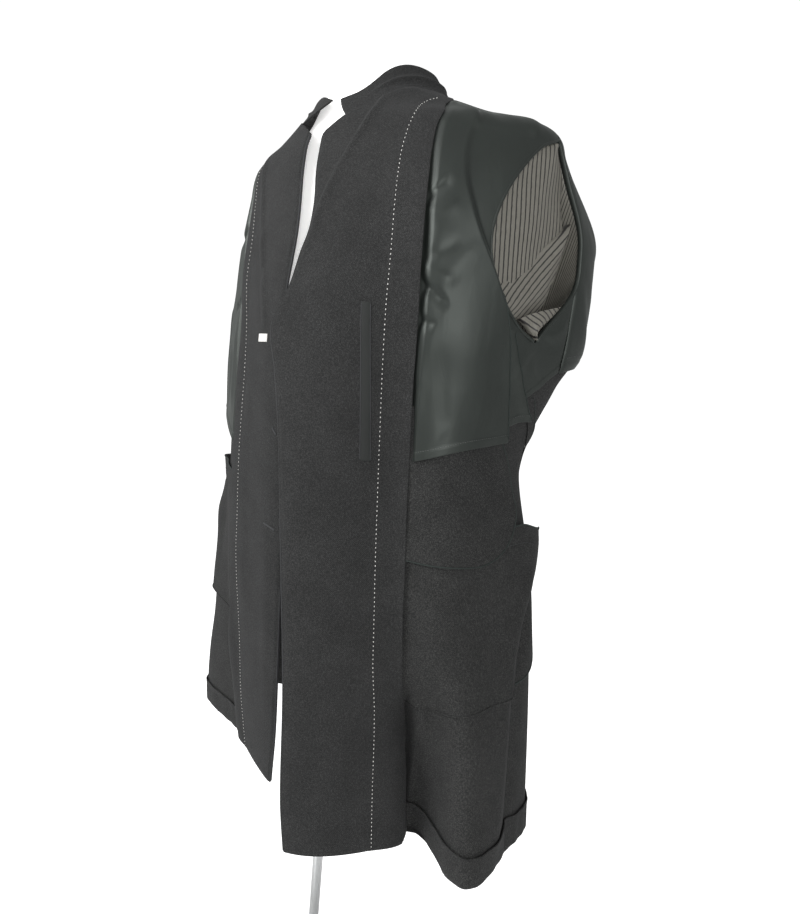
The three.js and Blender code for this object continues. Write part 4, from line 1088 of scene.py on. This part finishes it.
def oval(side, turn, h):
    """A level ellipse, its middle and half widths read from the table."""
    scale = 1.0 if side == LEFT else 0.94
    x = read(SECTIONS, -h, 1) * scale + read(SECTIONS, -h, 3) * np.cos(2 * np.pi * turn)
    y = read(SECTIONS, -h, 2) - read(SECTIONS, -h, 4) * np.sin(2 * np.pi * turn)
    return np.stack([side * x, y, HEM + h], -1)


def sleeve(side, turn, v):
    """Straight from just inside the mouth to the first oval, drawn in by half a sine wave,
    then down the ovals to the cuff."""
    t = np.clip(v / MOUTH_SHARE, 0, 1)
    first = oval(side, turn, np.full_like(turn, FIRST_OVAL))
    upper = mix(mouth(side, turn, -4.0), first, t[..., None])
    upper[..., 0] -= side * 14 * np.sin(np.pi * t)
    down = np.clip((v - MOUTH_SHARE) / (1 - MOUTH_SHARE), 0, 1)
    lower = oval(side, turn, mix(FIRST_OVAL, CUFF, down))
    return np.where((v < MOUTH_SHARE)[..., None], upper, lower)


v, turn = [half[:, :-1] for half in unit_grid(SLEEVE_ROWS, SLEEVE_COLUMNS + 1)]
for side, hand in SIDES:
    inner = sleeve(side, turn, v)
    across = np.roll(inner, -1, 1) - np.roll(inner, 1, 1)
    normal = unit(np.cross(across, np.gradient(inner, axis=0))) * side
    round_it, down_it = distances(inner)
    middle = SLEEVE_COLUMNS // 2
    uv = np.stack([round_it - round_it[:, middle:middle + 1], down_it], -1)
    piece = cloth(f"striped_sleeve_{hand}", inner, WALL["lining"], striped, flip=side == LEFT,
                  uv=uv, around=True)
    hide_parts(f"sleeve_lining_{hand}")
    outer = (inner + normal * SLEEVE_GAP)[2:, ::2]
    piece = cloth(f"wool_sleeve_{hand}", outer, WALL["panel"], wool, flip=side == RIGHT,
                  around=True)
    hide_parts(f"sleeve_{hand}", f"forearm_{hand}")

# %% [markdown]
# ## Folds in the armholes
#
# The sleeve lining doesn't hang smoothly in its armhole. One broad fold falls from the
# shoulder, a twisted one crosses below it, and a small corner of it is turned out at the
# bottom. Each is a patch between two edges. The edges are given across the opening, from 0 at
# its front to 1 at its back, with a level and a depth into it.

# %% Fold patches: v, then across, level and depth of one edge and of the other
BROAD_FOLD = np.array([
    [0.00, -0.02, 893, 3, 0.95, 893, 3], [0.25, -0.03, 868, 5, 1.02, 862, 6],
    [0.50, -0.03, 825, 8, 0.90, 836, 8], [0.75, -0.03, 765, 9, 0.88, 812, 10],
    [1.00, -0.03, 700, 9, 0.93, 790, 14]])
CROSS_FOLD = np.array([
    [0.00, 0.00, 714, 5, 0.03, 688, 3], [0.25, 0.25, 736, 6, 0.42, 684, 8],
    [0.45, 0.43, 754, 6, 0.76, 700, 12], [0.65, 0.61, 774, 6, 0.79, 730, 12],
    [0.85, 0.79, 794, 6, 0.86, 768, 11], [1.00, 0.92, 808, 8, 0.93, 806, 10]])
CORNER_FOLD = np.array([
    [0.0, 0.24, 686, 1, 1.00, 709, 2], [0.5, 0.42, 676, 0, 0.92, 688, 0],
    [1.0, 0.62, 664, 0, 0.70, 664, 0]])

SIDEWAYS, FORWARD = 0.925, 0.38  # the way an armhole faces, level and of unit length


def opening(side, across, level, depth):
    """A point in the armhole: on the line from its front edge to its back edge at a level,
    then inwards at a right angle to the whole opening."""
    front = skin(side, read(ARMHOLE_FRONT, level), level - DROP[side])
    back = skin(side, read(ARMHOLE_BACK, level), level - DROP[side])
    inwards = np.array([-SIDEWAYS * side, FORWARD, 0.0])
    return front + (back - front) * across[..., None] + inwards * depth[..., None]


def fold_patch(name, side, table, bulge, stripe_angle):
    """A patch between the table's two edges, bulging towards the outside between them and
    rolled back along both. Its stripes lie at the given angle from the upright."""
    v, u = unit_grid(60, 60)
    across, level, depth = [mix(read(table, v, k), read(table, v, k + 3), u) for k in (1, 2, 3)]
    waves = 1.6 * np.sin(7 * u + 2.2 * v) * np.sin(np.pi * u)
    rolled = 5 * (np.exp(-u / 0.025) + np.exp(-(1 - u) / 0.025))
    points = opening(side, across, level, depth - bulge * np.sin(np.pi * u) + waves + rolled)
    flat = points @ np.array([FORWARD * side, SIDEWAYS, 0.0])
    turn = math.radians(stripe_angle)
    tall = points[..., 2]
    uv = np.stack([flat * math.cos(turn) + tall * math.sin(turn),
                   tall * math.cos(turn) - flat * math.sin(turn)], -1)
    piece = cloth(name, points, WALL["lining"], striped, flip=side == RIGHT, uv=uv)


for side, hand in SIDES:
    fold_patch(f"broad_fold_{hand}", side, BROAD_FOLD, 5, 0)
    fold_patch(f"cross_fold_{hand}", side, CROSS_FOLD, 4, -42)
    fold_patch(f"corner_fold_{hand}", side, CORNER_FOLD, 3, 65)
    piping(f"armhole_edge_{hand}", mouth(side, np.linspace(0, 1, 241), 0.2)[:-1], 4.2, 7.0,
           satin, step=4.0)

# %% [markdown]
# ## Stitches and small pieces
#
# White pick stitches run down each facing by hand, between 5 and 6 mm apart. The breast
# pocket's welt is a narrow satin strip between two seams, and the buttonholes are worked in
# dark thread.

# %% Pick stitches
def on_facing(side, angle, h, lift):
    """Points on a facing, lifted off it."""
    return skin(side, angle, h, facing_lift(side, angle, h) + lift)


PICK_LINE = {
    LEFT: np.array([
        [4, 36.5], [89, 36.1], [199, 36], [259, 35.6], [434, 36.4], [555, 37.7], [647, 39],
        [694, 39.9], [725, 40.7], [763, 41.6], [801, 42.5], [830, 43.3], [858, 44.3],
        [877, 45.7], [895, 47.7], [911, 50.6], [923, 54.2], [933, 59], [940, 64.5]]),
    RIGHT: np.array([
        [4, 45], [100, 46], [200, 42.5], [330, 39.3], [400, 36.7], [500, 36.8], [600, 38.3],
        [660, 41.7], [720, 46], [780, 47.3], [840, 54.3], [870, 57.9], [900, 62]]),
}
for side, hand in SIDES:
    h = np.linspace(PICK_LINE[side][0, 0], PICK_LINE[side][-1, 0], 600)
    line = on_facing(side, read(PICK_LINE[side], h), h, 0.15)
    sew(f"pick_stitches_{hand}", line, 5.6, 1.9, 0.9, 0.7, white_thread)

# %% A dark cord along each front edge
for side, hand in SIDES:
    h = np.linspace(1, read(NECKLINE[side], FRONT_EDGE[side][-1, 1]) - 1, 500)
    line = skin(side, read(FRONT_EDGE[side], h) - 0.3, h, 0.1)
    piping(f"front_edge_dark_cord_{hand}", line, 2.2, 3.8, dark_thread)

# %% Welt
v, u = unit_grid(60, 10)
angle = mix(32.6, 35.0, u) + 0.5 * v
h = mix(506.0, 688.0, v)
lift = facing_lift(LEFT, angle, h) + (0.5 + 0.9 * np.sin(np.pi * u) ** 0.5)
# The welt's finish is the satin darkened as painted shade.
points = lay("breast_welt", LEFT, angle, h, lift, "welt", dull_satin_painted_shade, "breast_welt_left",
             slot="satin_lining", held="stretched", rests_on=["facing_left"])
for column, label in ((0, "front"), (-1, "back")):
    piping(f"welt_seam_{label}", points[:, column], 1.3, 1.2, dark_thread, step=2.4)

# %% Tab
v, u = unit_grid(8, 16)
angle = mix(10.6, 19.4, u)
h = mix(636.6, 646.9, v)
lift = facing_lift(RIGHT, angle, h) + (1.0 + 0.5 * u)
lay("blank_tab", RIGHT, angle, h, lift, "tab", tab_tape, "tab_right", held="stretched",
    rests_on=["facing_right"])

# %% Buttonholes: angle and height of each end
HOLES = ((3.0, 528, 0.5, 520), (9.5, 397, 1.5, 392), (7.5, 662, 2.6, 656))
for number, (a0, h0, a1, h1) in enumerate(HOLES, 1):
    t = np.linspace(0, 1, 30)
    path, top = [on_facing(RIGHT, mix(a0, a1, t), mix(h0, h1, t), lift) for lift in (0.3, 1.3)]
    tape(f"buttonhole_{number}", path, unit(top - path), 3.0, 1.6, dark_thread)

# %% Buttons keep their solids and get the horn finish
for name in ("button_upper", "button_middle", "button_lower"):
    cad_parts[name].data.materials.clear()
    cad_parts[name].data.materials.append(horn)

# %% [markdown]
# ## The dress form and its stand
#
# The form is a plain torso. It is the solid's own sections again, read through a cubic so
# that its outline has no corners. The stand is turned: a profile carried round the pole.

# %% Form and stand: height, half width, depth to the front and to the back, middle
TORSO = np.array([
    [300, 138, 92, 84, 6], [306, 150, 103, 94, 6], [322, 157, 109, 100, 6],
    [380, 158, 108, 100, 6], [440, 150, 103, 94, 6], [520, 138, 97, 84, 6],
    [600, 144, 106, 90, 8], [680, 158, 118, 100, 10], [750, 168, 122, 106, 11],
    [810, 172, 114, 104, 12], [855, 172, 102, 96, 12], [885, 164, 90, 84, 12],
    [905, 148, 80, 74, 11], [922, 122, 74, 66, 10], [938, 99, 71, 62, 8],
    [952, 85, 67, 60, 5], [968, 71, 61, 58, 3], [990, 61, 55, 57, 2],
    [1006, 58, 54, 57, 2]])

TURNED_SIDES = 96


def lathe(name, rings, material, replaced):
    """Closed rings one above another: height, half width, front and back depth, middle."""
    turn = np.linspace(0, 2 * np.pi, TURNED_SIDES, endpoint=False)
    s, c = np.sin(turn), np.cos(turn)
    height, width, front, back, middle = np.asarray(rings, float).T[..., None]
    y = middle - np.where(c > 0, front, back) * c
    points = np.stack([width * s, y, np.broadcast_to(height, y.shape)], -1)
    faces = grid_faces(len(rings), TURNED_SIDES, around=True).tolist()
    first = np.arange(TURNED_SIDES)
    last = first + (len(rings) - 1) * TURNED_SIDES
    piece = mesh_from(name, points, faces + [first[::-1].tolist(), last.tolist()], material)
    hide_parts(replaced)


levels = np.unique(np.concatenate([np.linspace(TORSO[0, 0], TORSO[-1, 0], 110), TORSO[:, 0]]))
rings = np.stack([levels + HEM] + [read(TORSO, levels, k) for k in (1, 2, 3, 4)], 1)
lathe("torso", rings, cover, "dress_form")


# %% Cap and stand: profiles of radius and height above the floor
def turned(name, profile, centre, material, replaced):
    """A round piece about an upright axis."""
    lathe(name, [(z, r, r, r, centre) for r, z in profile], material, replaced)


def rounded(radius, height, corner):
    """A quarter circle of profile points round a corner's centre."""
    return [(radius + corner * np.cos(t), height + corner * np.sin(t))
            for t in np.linspace(0, np.pi / 2, 8)]


turned("cap", [(49.6, 1503.3)] + rounded(46, 1507, 4), 3, cover, "neck_cap")
turned("base", [(184, 0.0), (185, 1.2)] + rounded(180, 9, 5) + [(14, 14.0)], 0, steel,
       "stand_base")
turned("pole", [(8, 14.2), (8, 500), (8, 796.8)], 0, steel, "stand_pole")

# %% [markdown]
# ## Floor, light and camera
#
# Dark cloth needs much light but shows best on white. So the floor and the world are white to
# the camera alone and light the coat more weakly, least of all from behind it. Three broad
# lamps do the rest, and the satin gets wide highlights. The camera stands to the front and
# the wearer's left at chest height and looks slightly down.

# %% Floor
FLOOR_REACH, FLOOR_LEVEL = 30.0, -0.0005  # just under the base, so that they don't flicker
paper, tree, shader = new_material(
    "paper", Roughness=0.95, Specular_IOR_Level=0.1, Base_Color=(0.8, 0.8, 0.8, 1),
    Emission_Color=(1, 1, 1, 1))
seen = node(tree, "ShaderNodeLightPath").outputs["Is Camera Ray"]
connect(tree, shader, Emission_Strength=remap(tree, seen, 0.0, 1.0, 0.12, 0.8))
corners = [(x * FLOOR_REACH, y * FLOOR_REACH, FLOOR_LEVEL)
           for x, y in ((-1, -1), (1, -1), (1, 1), (-1, 1))]
sheet = bpy.data.meshes.new("floor")
sheet.from_pydata(corners, [], [(0, 1, 2, 3)])
sheet.materials.append(paper)
floor = bpy.data.objects.new("floor", sheet)
scene = bpy.context.scene
scene.collection.objects.link(floor)

# %% World
scene.view_settings.view_transform = "Standard"
scene.world = bpy.data.worlds.new("studio")
scene.world.use_nodes = True
sky = scene.world.node_tree
look = node(sky, "ShaderNodeTexCoord").outputs["Generated"]
toward = node(sky, "ShaderNodeVectorMath", [(0, look), (1, (-0.56, 0.82, -0.13))],
              operation="DOT_PRODUCT").outputs["Value"]
glow = remap(sky, toward, 0.35, 0.71, 0.46, 0.36, interpolation_type="SMOOTHSTEP")
seen = node(sky, "ShaderNodeLightPath").outputs["Is Camera Ray"]
strength = node(sky, "ShaderNodeMix", [("Factor", seen), ("A", glow), ("B", 1.05)])
backdrop = sky.nodes["Background"]
backdrop.inputs["Color"].default_value = (1, 1, 1, 1)
connect(sky, backdrop, Strength=strength.outputs["Result"])


# %% Lamps
def lamp(name, place, target, size, power):
    """A rectangular lamp that faces its target."""
    data = bpy.data.lights.new(name, "AREA")
    data.shape = "RECTANGLE"
    data.size, data.size_y = size
    data.energy = power
    made = bpy.data.objects.new(name, data)
    made.location = place
    made.rotation_mode = "QUATERNION"
    away = Vector(target) - Vector(place)
    made.rotation_quaternion = away.to_track_quat("-Z", "Y")
    scene.collection.objects.link(made)


lamp("key", (-1.15, -1.65, 2.1), (0.0, -0.05, 1.15), (1.4, 1.6), 53)
lamp("side", (1.75, -1.7, 1.4), (0.1, 0, 1.25), (1.1, 1.5), 32)
lamp("rear", (-0.9, 2.3, 1.9), (0, 0, 1.1), (1.6, 1.6), 12)

# %% Camera
FOCAL, PICTURE_HEIGHT, SENSOR = 637.66, 914, 36  # pixels, pixels, millimetres
camera = bpy.data.cameras.new("camera")
camera.lens = FOCAL * SENSOR / PICTURE_HEIGHT
camera.sensor_width = SENSOR
eye = bpy.data.objects.new("camera", camera)
forward = unit(np.array([-0.5611, 0.8170, -0.1331]))
right = np.array([0.8150, 0.5734, 0.0837])
right = unit(right - forward * (right @ forward))
up = np.cross(right, forward)
eye.rotation_mode = "QUATERNION"
eye.rotation_quaternion = Matrix(np.stack([right, up, -forward], 1).tolist()).to_quaternion()
eye.location = (0.5895, -0.7221, 1.1108)
camera.clip_start, camera.clip_end = 0.01, 100
scene.collection.objects.link(eye)
scene.camera = eye

# %% Sizes and finish
print("pieces", len(PIECES))
